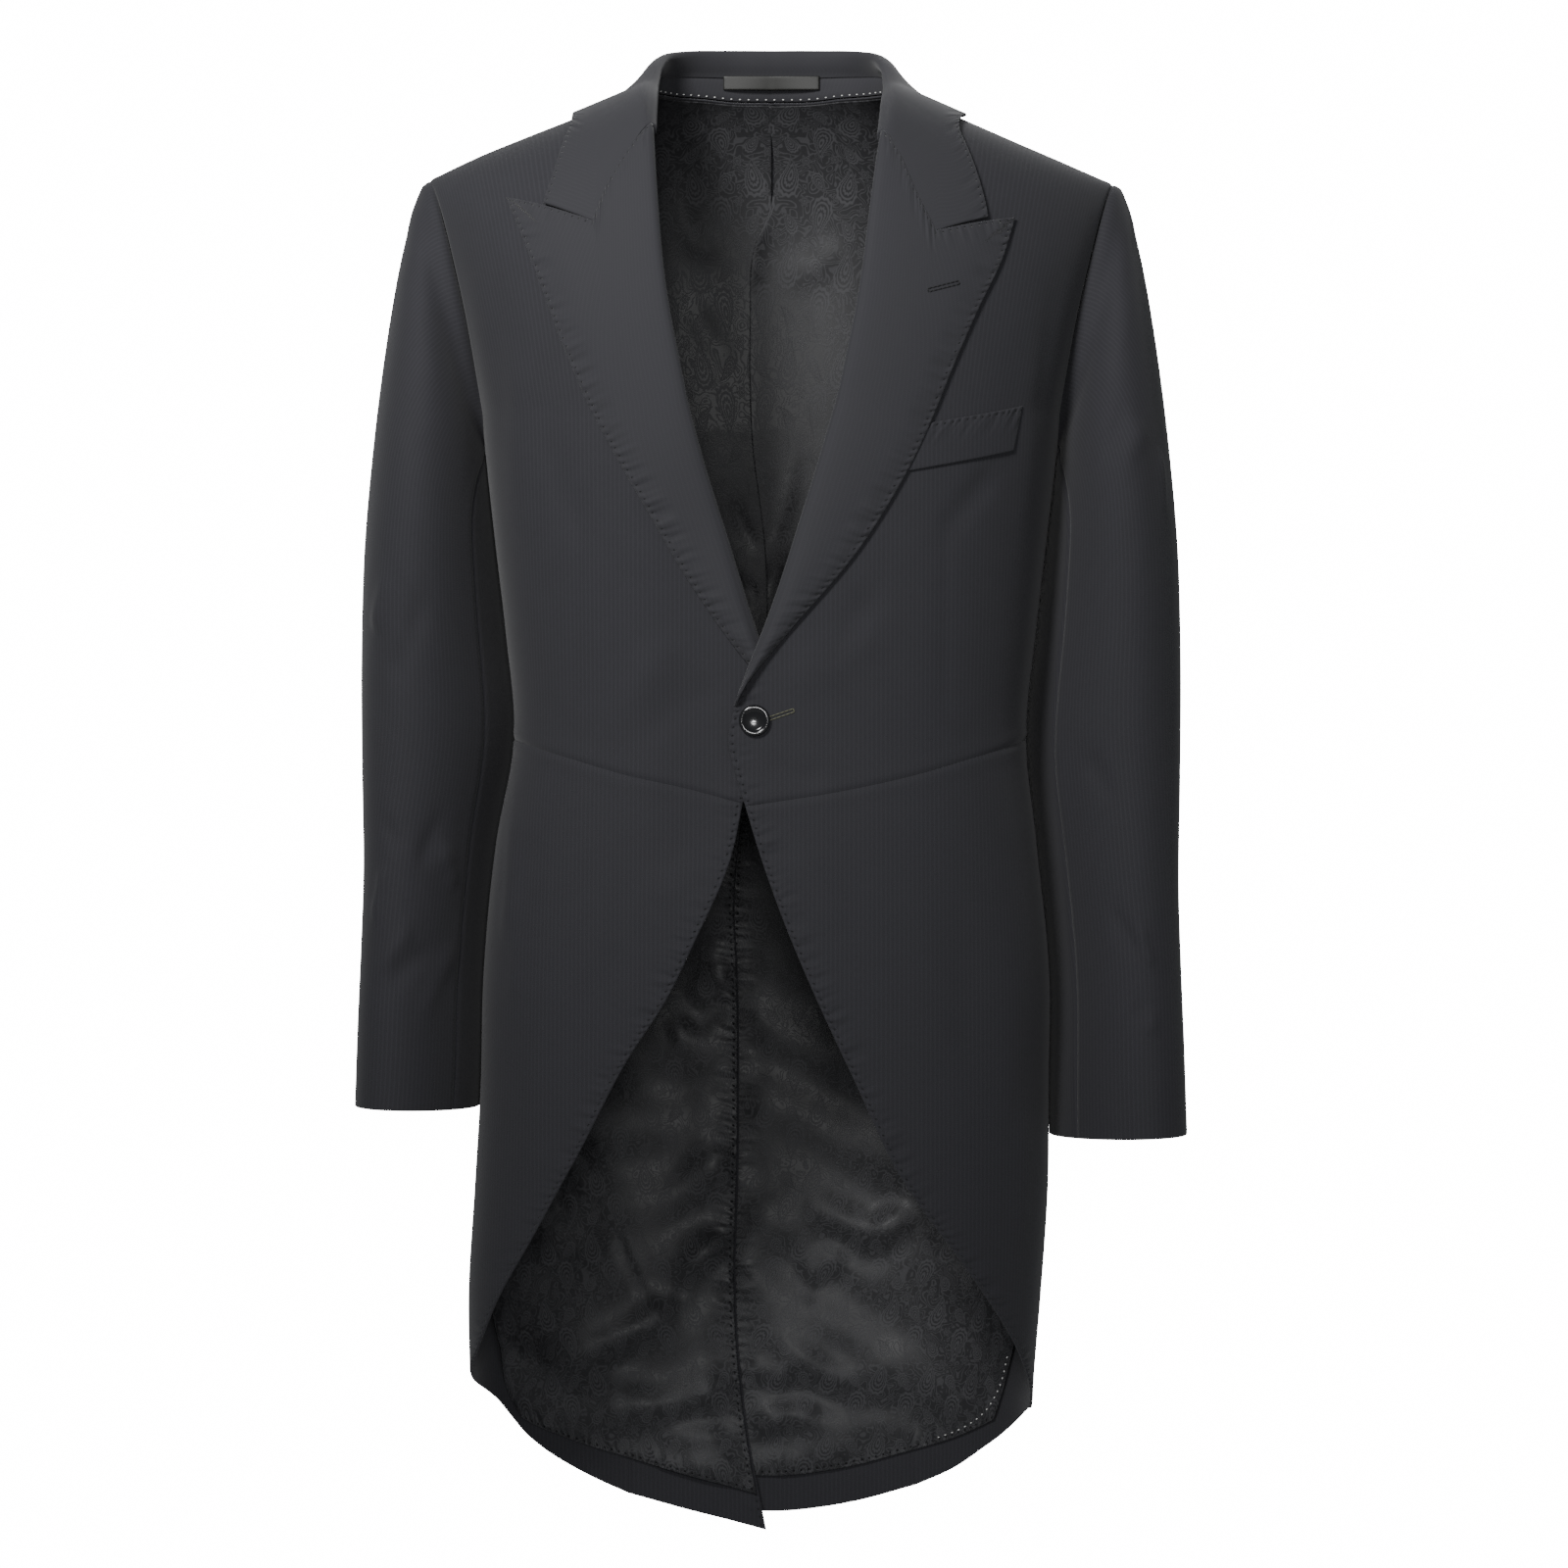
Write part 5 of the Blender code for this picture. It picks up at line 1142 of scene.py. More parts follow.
def sleeve_grid(side):
    """Points of the sleeve round and down it, the way out of the cloth there, and its armhole."""
    sign = SIGN[side]
    at = PANELS[side][0]
    ring = joined(at["armhole_back"][::-1], at["armhole_foot"][::-1], at["armhole_front"])[:-1]
    start = cloth(side, ring)
    start_normal = outward(side, ring[:, 0], ring[:, 1])
    places_down = np.linspace(0, len(SLEEVE) - 1, SLEEVE_SAMPLES)
    rows = smooth_between(np.column_stack([np.arange(len(SLEEVE)), SLEEVE]), places_down)
    drop = ramp(rows[:, 1], -0.30, -0.68) * CUFF_DROP[side]
    rows[:, 1] -= drop
    rows[:, 3] -= drop
    body_side = smooth_between(BODY, rows[:, 3])[:, 0 if side == "right" else 1]
    rows[:, 0] *= sign
    rows[:, 2] = (body_side + rows[:, 2]) * sign
    angle = ring_angles(start, rows[0])
    even = np.linspace(0, 2 * pi, len(angle), endpoint=False) + angle[0]
    coarse = places_down * SLEEVE_STEPS / (len(SLEEVE) - 1)
    blends = smooth_between(np.column_stack([SLEEVE_BLEND_AT, SLEEVE_BLEND]), coarse)[:, 0]
    points = []
    for i, (ox, oz, ix, iz, deep, middle, back) in enumerate(rows):
        psi = angle + (even - angle) * ramp(coarse[i], 0, SLEEVE_EVEN)
        half = np.array((ox - ix, -back, oz - iz)) / 2
        centre = np.array((ox + ix, 2 * middle, oz + iz)) / 2
        oval = centre + np.cos(psi)[:, None] * half + np.sin(psi)[:, None] * np.array((0, deep, 0))
        points.append(start + (oval - start) * min(blends[i], 1))
    points = np.array(points)
    wrapped = np.concatenate([points[:, -1:], points, points[:, :1]], axis=1)
    normal = sheet_normals(wrapped)[:, 1:-1]
    outside = points - points.mean(axis=1, keepdims=True)
    if (normal[20] * outside[20]).sum() < 0:
        normal = -normal
    normal[0] += start_normal
    normal[0] /= np.linalg.norm(normal[0], axis=1)[:, None]
    for _ in range(8):
        normal[1:-1] = normal[:-2] + normal[1:-1] + normal[2:]
        normal /= np.linalg.norm(normal, axis=-1, keepdims=True)
    return points, normal, ring


def add_sleeves(finish):
    for side in SIDES:
        points, normal, ring = sleeve_grid(side)
        count = points.shape[1]
        fore = count - FORE_SEAM_COL
        top = np.r_[fore:count, 0:HIND_SEAM_COL + 1]
        under = np.arange(HIND_SEAM_COL, fore + 1)
        for name, cols in (("top_sleeve", top), ("under_sleeve", under)):
            turns = np.where(cols >= fore, cols - count, cols) if name == "top_sleeve" else cols
            turns = np.broadcast_to(turns * 360.0 / count, points.shape[:1] + cols.shape)
            values = np.concatenate([points[:, cols], normal[:, cols], turns[..., None]], axis=2)
            fine, edges = refined(values, lambda grid: grid[..., :3])
            way = fine[..., 3:6] / np.linalg.norm(fine[..., 3:6], axis=-1, keepdims=True)
            over, under_ = worked(
                edges, [("top", 1)], [("inner", 1), ("outer", 1), ("bottom", 1)], WALL)
            lines = [(deep, half, [(turn * DEGREE, z) for turn, z in line])
                     for deep, half, line in CREASES.get((name, side), ())]
            moved = crease_depth(lines, np.stack([fine[..., 6] * DEGREE, fine[..., 2]], -1))
            moved = moved + sleeve_head(edges["bottom"], fine[..., 6]) - WALL / 2
            uv = np.stack([edges["inner"], -edges["bottom"]], -1)
            made = add_cloth(
                f"sewn_{name}_{side}", fine[..., :3] + way * (moved + over)[..., None],
                fine[..., :3] + way * (moved + under_)[..., None], finish, uv, stitch_line(edges, ()))
            declare(f"{name}_{side}")


def sleeve_head(away, turn):
    """The roped head: a soft roll of cloth beside the seam, over the shoulder."""
    high = ROPE_HIGH * np.exp(-((turn / ROPE_TURN) ** 2))
    return high * np.exp(-(((away - ROPE_AT) / ROPE_HALF) ** 2))


# ---------------------------------------------------------------- linings and small pieces


def pleat_lap(side, fine, edges):
    """The left back lining's folded edge stands over the right one's."""
    if side == "right":
        return np.zeros(fine.shape[:2])
    return -PLEAT_LIFT * np.exp(-((edges["inner"] / PLEAT_WIDE) ** 2))


def add_back_linings(finish):
    for side in SIDES:
        body = PANELS[side][1]["back"][TAIL_ROWS:].copy()
        if side == "left":
            body[:, 0] = run(side, places(side, PLEAT, behind=True)[::-1], len(body) - 1)
        made = panel_cloth(
            f"sewn_back_lining_{side}", side, body, finish, LINING_WALL, LINING_LIFT,
            turned=[("inner", 1)], seamed=[("outer", 1)], lines=CREASES["back_lining", side],
            behind=True, swell=pleat_lap)
        declare(f"back_lining_{side}")


def billow(side, fine, edges):
    """The tail lining's ease: away from its seams it stands a little into the hollow, unevenly."""
    free = np.minimum.reduce([edges[edge] for edge in ("inner", "outer", "bottom", "top")])
    turn, height = fine[..., 0], fine[..., 1]
    wave = np.zeros(turn.shape)
    for deep, across, down, start in LINING_WAVES[side]:
        wave = wave + deep * np.sin(across * turn + down * height + start)
    stood = LINING_EASE * ramp(free, 0, 0.030) + wave * ramp(free, 0.002, 0.022)
    if side == "right":  # its free edge springs into the hollow and shades the other side
        stood = stood + VENT_SPRING * np.exp(-((edges["inner"] / 0.024) ** 2)) * ramp(height, -0.86, -0.62)
    return -stood


def tail_grid(side):
    """Places of the tail lining, over the back's tail and on round the skirt."""
    grids = PANELS[side][1]
    skirt = grids["skirt"][:, ::-1][:, 1:LINING_SKIRT_COLS + 1]
    tail = np.concatenate([grids["back"][:TAIL_ROWS + 1], skirt], axis=1)
    tail[:, 0] += (tail[:, 4] - tail[:, 0]) * LINING_SET_BACK
    rows = np.linspace(LINING_HEM, LINING_TOP, 61) * TAIL_ROWS
    low = np.floor(rows).astype(int).clip(0, TAIL_ROWS - 1)
    part = (rows - low)[:, None, None]
    return tail[low] * (1 - part) + tail[low + 1] * part


def add_tail_linings(finish):
    for side in SIDES:
        made = panel_cloth(
            f"sewn_tail_lining_{side}", side, tail_grid(side), finish, LINING_WALL, LINING_LIFT,
            turned=[("bottom", 1), ("inner", 1)], seamed=[("outer", 1), ("top", 1)],
            stitched=["inner", "bottom"], lines=CREASES["tail_lining", side], behind=True, swell=billow)
        declare(f"tail_lining_{side}")


def add_welt(finish):
    side = "left"
    top = run(side, places(side, WELT[:2]), 16)
    bottom = run(side, places(side, WELT[2:]), 16)
    inner = run(side, places(side, (WELT[2], WELT[0])), 8)
    outer = run(side, places(side, (WELT[3], WELT[1])), 8)
    made = panel_cloth(
        "sewn_breast_welt", side, patch(bottom, top, inner, outer), finish, WELT_WALL, WELT_LIFT,
        turned=[("top", 1), ("inner", 1), ("outer", 1), ("bottom", 1)], stitched=["top"])
    declare("breast_welt")


def frame_at(point, out):
    """A matrix whose Z points out of the cloth at this point."""
    turn = Vector(out).to_track_quat("Z", "Y").to_matrix().to_4x4()
    return Matrix.Translation(Vector(point)) @ turn


def add_button(finish):
    spot = place("left", *BUTTON_AT)
    normal = outward("left", spot[:1], spot[1:])[0]
    base = frame_at(cloth("left", spot[None], 0.0004)[0], normal)
    profile = (
        (0.0, BUTTON_HIGH - 0.0015), (BUTTON_WELL_R - 0.0012, BUTTON_HIGH - 0.0014),
        (BUTTON_WELL_R - 0.0003, BUTTON_HIGH - 0.0010), (BUTTON_WELL_R + 0.0004, BUTTON_HIGH - 0.0003),
        (BUTTON_WELL_R + 0.0012, BUTTON_HIGH), (BUTTON_R - 0.0010, BUTTON_HIGH - 0.0001),
        (BUTTON_R - 0.0003, BUTTON_HIGH - 0.0006), (BUTTON_R, BUTTON_HIGH - 0.0013),
        (BUTTON_R - 0.0004, 0.0012), (BUTTON_R - 0.0014, 0.0006), (0.0040, 0.0), (0.0, 0.0),
    )
    bm = bmesh.new()
    ring = [bm.verts.new((r, 0, z)) for r, z in profile]
    edges = [bm.edges.new(pair) for pair in zip(ring, ring[1:])]
    bmesh.ops.spin(
        bm, geom=ring + edges, cent=(0, 0, 0), axis=(0, 0, 1), angle=2 * pi, steps=72, use_merge=True)
    bmesh.ops.remove_doubles(bm, verts=bm.verts[:], dist=0.00003)
    bm.transform(base)
    made = add_piece("horn_button", bm, finish)
    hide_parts("front_button")
    add_button_threads(base)


def add_hanger_loop(finish):
    """A flat satin loop across the back of the stand, its middle standing a little off it."""
    neck, top = stand_edges()
    rows = []
    for share in np.linspace(-0.5, 0.5, 9):
        row = []
        for x in np.linspace(-LOOP_LONG / 2, LOOP_LONG / 2, 41):
            low = [np.interp(x, neck[:, 0], neck[:, i]) for i in (1, 2)]
            high = [np.interp(x, top[:, 0], top[:, i]) for i in (1, 2)]
            z = LOOP_Z + share * LOOP_WIDE
            y = low[0] + (high[0] - low[0]) * (z - low[1]) / (high[1] - low[1])
            bow = LOOP_BOW * (1 - (2 * x / LOOP_LONG) ** 4)
            row.append((x, y - LOOP_OFF - bow, z))
        rows.append(row)
    made = spatial_cloth(
        "satin_hanger_loop", np.array(rows), finish, LOOP_WALL, 1,
        turned=[("top", 1), ("bottom", 1), ("inner", 1), ("outer", 1)])
    declare("hanger_loop")


def in_front(name, x, z):
    """The point of this piece that shows from the front at (x, z), and its normal."""
    found, spot, normal, _ = bpy.data.objects[name].ray_cast(Vector((x, -1.0, z)), Vector((0, 1, 0)))
    if not found:
        raise ValueError(f"{name} doesn't show at {x}, {z}")
    return spot, normal


def add_thread(bm, start, end, normal, radius, lift=0.0):
    """One short thread lying from start to end, rounded at both ends."""
    way = end - start
    middle = (start + end) / 2 + normal * lift
    turn = way.to_track_quat("X", "Z").to_matrix().to_4x4()
    half = way.length / 2 + radius * 0.6
    scale = Matrix.Diagonal((half / radius, 1, 0.8, 1))
    bmesh.ops.create_uvsphere(
        bm, u_segments=10, v_segments=8, radius=radius, matrix=Matrix.Translation(middle) @ turn @ scale)


def add_buttonhole(label, piece, start, end, radius, finish, slot):
    """A worked buttonhole: a flat oval ring of thread with a bar across each end."""
    start, end = Vector(start), Vector(end)
    way = (end - start).normalized()
    side = Vector((-way.y, way.x)) * HOLE_WIDE / 2
    bm = bmesh.new()
    corners = (start + side, end + side, end - side, start - side)
    for a, b in zip(corners, corners[1:] + corners[:1]):
        steps = max(1, round((b - a).length / 0.003))
        for i in range(steps):
            ends = [in_front(piece, *(a + (b - a) * t)) for t in (i / steps, (i + 1) / steps)]
            add_thread(bm, ends[0][0], ends[1][0], ends[0][1], radius, radius * 0.3)
    made = add_piece(label, bm, finish)


def add_stitches():
    """The white hand stitches of the neck seam and the left tail lining, and both buttonholes."""
    neck, top = stand_edges()
    bm = bmesh.new()
    gaps = np.append(0, np.cumsum(np.linalg.norm(np.diff(neck, axis=0), axis=1)))
    for at in np.arange(0.006, gaps[-1] - 0.004, NECK_STITCH_PITCH):
        ends = []
        for shift in (-0.0004, 0.0004):
            spot = np.array([np.interp(at + shift, gaps, neck[:, i]) for i in range(3)])
            rise = np.array([np.interp(at + shift, gaps, top[:, i]) for i in range(3)]) - spot
            ends.append(Vector(spot + rise / np.linalg.norm(rise) * 0.0012))
        along = ends[1] - ends[0]
        normal = Vector(rise).cross(along).normalized()
        normal = -normal if normal.y > 0 else normal
        add_thread(bm, ends[0], ends[1], normal, THREAD_R, STAND_WALL / 2)
    made = add_piece("neck_seam_stitches", bm, "white_thread")
    add_hem_stitches()
    add_buttonhole(
        "lapel_buttonhole", "rolled_lapel_left", *LAPEL_HOLE, THREAD_R, "black_thread", "facing")
    add_buttonhole(
        "front_buttonhole", "sewn_forepart_left", *FRONT_HOLE, FRONT_THREAD_R, "olive_thread", "wool")


def add_hem_stitches():
    """White stitches a little way in from the curved end of the left tail lining."""
    line = even_line(np.array([(x, 0.0, z) for x, z in HEM_STITCH_LINE]), 400)
    gaps = np.append(0, np.cumsum(np.linalg.norm(np.diff(line, axis=0), axis=1)))
    bm = bmesh.new()
    for at in np.arange(0.001, gaps[-1] - 0.001, HEM_STITCH_PITCH):
        ends = []
        for shift in (-0.0004, 0.0004):
            x, z = (np.interp(at + shift, gaps, line[:, i]) for i in (0, 2))
            spot, normal = in_front("sewn_tail_lining_left", x, z)
            ends.append(spot)
        add_thread(bm, *ends, normal, THREAD_R, 0.0001)
    made = add_piece("hem_stitches", bm, "white_thread")


def add_button_threads(base):
    """Two bars of thread through the button's holes."""
    bm = bmesh.new()
    for side in (-1, 1):
        start = base @ Vector((-BUTTON_HOLE_AT, side * BUTTON_HOLE_AT, BUTTON_HIGH - 0.0011))
        end = base @ Vector((BUTTON_HOLE_AT, side * BUTTON_HOLE_AT, BUTTON_HIGH - 0.0011))
        add_thread(bm, start, end, base.to_3x3() @ Vector((0, 0, 1)), BAR_R)
    made = add_piece("button_threads", bm, "black_thread")


# ---------------------------------------------------------------- finishes


def put(tree, kind, inputs=(), **settings):
    """A node of this kind. inputs are sockets to link or values, by the input's name or number."""
    made = tree.nodes.new(kind)
    for name, value in settings.items():
        setattr(made, name, value)
    for key, value in dict(inputs).items():
        if isinstance(value, bpy.types.NodeSocket):
            tree.links.new(value, made.inputs[key])
        else:
            made.inputs[key].default_value = value
    return made


def sum_of(tree, operation, *values):
    """The result of a math node on these values."""
    return put(tree, "ShaderNodeMath", enumerate(values), operation=operation).outputs[0]


def soft_step(tree, value, start, end, low=0.0, high=1.0):
    """low before start, high after end, smooth between."""
    return put(
        tree, "ShaderNodeMapRange", {0: value, 1: start, 2: end, 3: low, 4: high},
        interpolation_type="SMOOTHSTEP").outputs[0]


def noise(tree, vector, scale, detail, distortion=0.0):
    """Soft noise over a vector."""
    return put(tree, "ShaderNodeTexNoise", {
        "Vector": vector, "Scale": scale, "Detail": detail, "Distortion": distortion}).outputs[0]


def noise_along(tree, value, scale, detail=2.0):
    """Soft noise along one value."""
    return put(tree, "ShaderNodeTexNoise", {"W": value, "Scale": scale, "Detail": detail},
               noise_dimensions="1D").outputs[0]


def new_group(name, inputs, outputs):
    """A shader node group, with its input and output nodes."""
    tree = bpy.data.node_groups.new(name, "ShaderNodeTree")
    for label, kind, value in inputs:
        made = tree.interface.new_socket(label, in_out="INPUT", socket_type=kind)
        if value is not None:
            made.default_value = value
    for label in outputs:
        tree.interface.new_socket(label, in_out="OUTPUT", socket_type="NodeSocketFloat")
    return tree, tree.nodes.new("NodeGroupInput").outputs, tree.nodes.new("NodeGroupOutput").inputs


FLOAT, VECTOR = "NodeSocketFloat", "NodeSocketVector"


def make_weave(choices):
    """Herringbone twill with a fine self stripe. Vector is the cloth's UV in metres."""
    tree, given, result = new_group(
        "cloth weave", (("Vector", VECTOR, None), ("Stripe", FLOAT, 1.0)), ("Tone", "Height"))
    axes = put(tree, "ShaderNodeSeparateXYZ", {0: given["Vector"]}).outputs
    fold = sum_of(tree, "PINGPONG", axes[0], choices.stripe_pitch / 2)
    rise = sum_of(tree, "ADD", axes[1], fold)
    twill = sum_of(tree, "SINE", sum_of(tree, "MULTIPLY", rise, 2 * pi / choices.twill_pitch))
    line = soft_step(tree, fold, 0.0002, 0.0008, 1.0, 0.0)
    stretch = put(
        tree, "ShaderNodeVectorMath", {0: given["Vector"], 1: (1400, 260, 1)}, operation="MULTIPLY")
    fibre = noise(tree, stretch.outputs[0], 1.0, 2.0)
    slub = noise(tree, given["Vector"], 55.0, 3.0)
    tone = sum_of(tree, "MULTIPLY_ADD", line, 0.16, 0.92)
    tone = sum_of(tree, "MULTIPLY_ADD", twill, 0.03, tone)
    tone = sum_of(tree, "MULTIPLY_ADD", sum_of(tree, "SUBTRACT", fibre, 0.5), 0.24, tone)
    tone = sum_of(tree, "MULTIPLY_ADD", sum_of(tree, "SUBTRACT", slub, 0.5), 0.10, tone)
    plain = sum_of(tree, "SUBTRACT", tone, 1.0)
    tree.links.new(sum_of(tree, "MULTIPLY_ADD", plain, given["Stripe"], 1.0), result["Tone"])
    height = sum_of(tree, "MULTIPLY_ADD", line, 0.5, twill)
    tree.links.new(sum_of(tree, "ADD", height, fibre), result["Height"])


def make_pick_stitch(choices):
    """Small dimples a little way in from a stitched edge, and the puckers that run in from them; the
    dimples' mask is painted shade for the finishes' colour.
    """
    tree, given, result = new_group(
        "pick stitch", (("Off", FLOAT, 0.0), ("Along", FLOAT, 0.0)), ("Mask", "Height"))
    waver = noise_along(tree, given["Along"], 60.0)
    along = sum_of(tree, "MULTIPLY_ADD", waver, 0.004, given["Along"])
    side = sum_of(tree, "PINGPONG", along, choices.stitch_pitch / 2)
    inset = sum_of(tree, "ABSOLUTE", sum_of(tree, "SUBTRACT", given["Off"], choices.stitch_inset))
    dot = sum_of(tree, "MULTIPLY", soft_step(tree, side, 0.0, 0.0009, 1.0, 0.0),
                 soft_step(tree, inset, 0.0, 0.0011, 1.0, 0.0))
    rib = sum_of(tree, "MULTIPLY", soft_step(tree, side, 0.0, choices.stitch_pitch / 2, 1.0, 0.0),
                 soft_step(tree, given["Off"], 0.0005, 0.0085, 1.0, 0.0))
    strength = noise_along(tree, given["Along"], 22.0)
    rib = sum_of(tree, "MULTIPLY", rib, soft_step(tree, strength, 0.35, 0.65, 0.25, 1.0))
    reach = sum_of(tree, "MULTIPLY", soft_step(tree, given["Off"], 0.0, 0.0030, 0.0, 1.0),
                   soft_step(tree, given["Off"], 0.0060, 0.0200, 1.0, 0.0))
    pull = noise_along(tree, given["Along"], 105.0, 1.0)
    pull = sum_of(tree, "MULTIPLY", sum_of(tree, "SUBTRACT", pull, 0.5), reach)
    # mask of the dimples: the finishes darken their colour by it, as painted shade
    tree.links.new(dot, result["Mask"])
    height = sum_of(tree, "MULTIPLY_ADD", rib, -0.45, sum_of(tree, "MULTIPLY", dot, -0.65))
    tree.links.new(sum_of(tree, "MULTIPLY_ADD", pull, 1.5, height), result["Height"])


def about_centre(tree, given):
    """The cloth's UV from this motif's own centre, the same in every repeat."""
    half = np.array(REPEAT) / 2
    moved = put(tree, "ShaderNodeVectorMath", {0: given["Vector"], 1: given["Centre"]}, operation="SUBTRACT")
    return put(
        tree, "ShaderNodeVectorMath", {0: moved.outputs[0], 1: (*half, 1), 2: (*-half, -1)},
        operation="WRAP").outputs[0]


def rings(tree, wanted):
    """Lines where values come near given places: (value, place, half width, and where the line ends)."""
    line = 0.0
    for value, at, near, far in wanted:
        off = sum_of(tree, "ABSOLUTE", sum_of(tree, "SUBTRACT", value, at))
        line = sum_of(tree, "MAXIMUM", line, soft_step(tree, off, near, far, 1.0, 0.0))
    return line


def make_drop():
    """Line work of one teardrop: outlines one inside another, its tip curling over."""
    tree, given, result = new_group(
        "teardrop", (("Vector", VECTOR, None), ("Centre", VECTOR, (0, 0, 0)), ("Turn", VECTOR, (0, 0, 0)),
                     ("Size", VECTOR, (1, 1, 1))), ("Line", "Inside"))
    own = put(
        tree, "ShaderNodeMapping",
        {0: about_centre(tree, given), "Rotation": given["Turn"], "Scale": given["Size"]},
        vector_type="TEXTURE")
    x, y, _ = put(tree, "ShaderNodeSeparateXYZ", {0: own.outputs[0]}).outputs
    curl = sum_of(tree, "POWER", sum_of(tree, "MAXIMUM", y, 0.0), 2.0)
    x = sum_of(tree, "MULTIPLY_ADD", curl, -0.55, x)
    thin = sum_of(tree, "MAXIMUM", sum_of(tree, "MULTIPLY_ADD", y, -0.5, 0.5), 0.02)
    wide = sum_of(tree, "DIVIDE", x, sum_of(tree, "MULTIPLY", sum_of(tree, "POWER", thin, 0.8), 0.95))
    squares = [sum_of(tree, "POWER", sum_of(tree, "ABSOLUTE", way), 2.0) for way in (wide, y)]
    level = sum_of(tree, "SQRT", sum_of(tree, "ADD", *squares))
    petals = sum_of(tree, "SINE", sum_of(tree, "MULTIPLY", sum_of(tree, "ARCTAN2", x, y), 16.0))
    scalloped = sum_of(tree, "MULTIPLY_ADD", petals, 0.035, level)
    outlines = ((scalloped, 1.0, 0.085), (level, 0.78, 0.06), (scalloped, 0.52, 0.08), (level, 0.22, 0.10))
    line = rings(tree, [(value, at, width * 0.5, width * 1.3) for value, at, width in outlines])
    tree.links.new(line, result["Line"])
    tree.links.new(soft_step(tree, level, 1.05, 1.12, 1.0, 0.0), result["Inside"])


def make_rosette():
    """Line work of one small flower of six petals."""
    tree, given, result = new_group(
        "rosette", (("Vector", VECTOR, None), ("Centre", VECTOR, (0, 0, 0)), ("Size", FLOAT, 1.0)),
        ("Line", "Inside"))
    x, y, _ = put(tree, "ShaderNodeSeparateXYZ", {0: about_centre(tree, given)}).outputs
    squares = [sum_of(tree, "MULTIPLY", way, way) for way in (x, y)]
    out = sum_of(tree, "DIVIDE", sum_of(tree, "SQRT", sum_of(tree, "ADD", *squares)), given["Size"])
    petals = sum_of(tree, "COSINE", sum_of(tree, "MULTIPLY", sum_of(tree, "ARCTAN2", x, y), 6.0))
    level = sum_of(tree, "MULTIPLY", out, sum_of(tree, "MULTIPLY_ADD", petals, 0.22, 1.0))
    tree.links.new(rings(tree, [(level, at, 0.06, 0.13) for at in (1.0, 0.62, 0.2)]), result["Line"])
    tree.links.new(soft_step(tree, out, 1.3, 1.4, 1.0, 0.0), result["Inside"])


def make_paisley():
    """A small, ordinary paisley: teardrops and rosettes on a ground of trailing lines."""
    tree, given, result = new_group("paisley", (("Vector", VECTOR, None),), ("Line",))
    drawn, covered = 0.0, 0.0
    motifs = [("teardrop", centre, turn, (*size, 1)) for centre, turn, size in DROPS]
    motifs += [("rosette", centre, 0, size) for centre, size in ROSETTES]
    for kind, centre, turn, size in motifs:
        motif = put(tree, "ShaderNodeGroup", node_tree=bpy.data.node_groups[kind])
        tree.links.new(given["Vector"], motif.inputs["Vector"])
        motif.inputs["Centre"].default_value = (*centre, 0)
        motif.inputs["Size"].default_value = size
        if turn:
            motif.inputs["Turn"].default_value = (0, 0, radians(turn))
        drawn = sum_of(tree, "MAXIMUM", drawn, motif.outputs["Line"])
        covered = sum_of(tree, "MAXIMUM", covered, motif.outputs["Inside"])
    field = noise(tree, given["Vector"], 95.0, 0.0, 1.2)
    bands = sum_of(tree, "PINGPONG", sum_of(tree, "MULTIPLY", field, 7.0), 0.5)
    trail = soft_step(tree, bands, 0.08, 0.24, 1.0, 0.0)
    trail = sum_of(tree, "MULTIPLY", trail, sum_of(tree, "SUBTRACT", 1.0, covered))
    tree.links.new(sum_of(tree, "MAXIMUM", drawn, sum_of(tree, "MULTIPLY", trail, 0.8)), result["Line"])


def new_finish(name):
    """A material with its shader, and the cloth's UV in metres."""
    made = bpy.data.materials.new(name)
    made.use_nodes = True
    tree = made.node_tree
    uv = put(tree, "ShaderNodeUVMap", uv_map="cloth").outputs[0]
    return tree, tree.nodes["Principled BSDF"], uv


def tinted(tree, colour, tone, shader):
    """The colour, lighter or darker by tone, on the shader."""
    base = put(tree, "ShaderNodeCombineXYZ", enumerate(colour)).outputs[0]
    scaled = put(tree, "ShaderNodeVectorMath", {0: base}, operation="SCALE")
    tree.links.new(tone, scaled.inputs["Scale"])
    tree.links.new(scaled.outputs[0], shader.inputs["Base Color"])


def stitched_cloth(name, colour, roughness, stripe, sheen):
    """Wool: twill, its self stripe and the pick stitching beside its turned edges, with painted shade in the
    stitches' dimples.
    """
    tree, shader, uv = new_finish(name)
    weave = put(tree, "ShaderNodeGroup", node_tree=bpy.data.node_groups["cloth weave"])
    tree.links.new(uv, weave.inputs["Vector"])
    weave.inputs["Stripe"].default_value = stripe
    stitch = add_stitching(tree)
    # painted shade: the colour is 55% darker in each pick stitch's dimple
    painted_dimple_shade = sum_of(tree, "MULTIPLY_ADD", stitch["Mask"], -0.55, 1.0)
    tinted(tree, colour, sum_of(tree, "MULTIPLY", weave.outputs["Tone"], painted_dimple_shade), shader)
    add_relief(tree, shader, (0.35, 0.00006, weave.outputs["Height"]), (1.0, 0.0014, stitch["Height"]))
    shader.inputs["Roughness"].default_value = roughness
    shader.inputs["Specular IOR Level"].default_value = 0.25
    shader.inputs["Sheen Weight"].default_value = sheen
    shader.inputs["Sheen Roughness"].default_value = 0.5


def add_relief(tree, shader, fine, deep):
    """The weave's relief and the stitching's on the shader, each as (strength, distance, height)."""
    names = ("Strength", "Distance", "Height")
    under = put(tree, "ShaderNodeBump", dict(zip(names, fine)))
    over = put(tree, "ShaderNodeBump", {**dict(zip(names, deep)), "Normal": under.outputs[0]})
    tree.links.new(over.outputs[0], shader.inputs["Normal"])


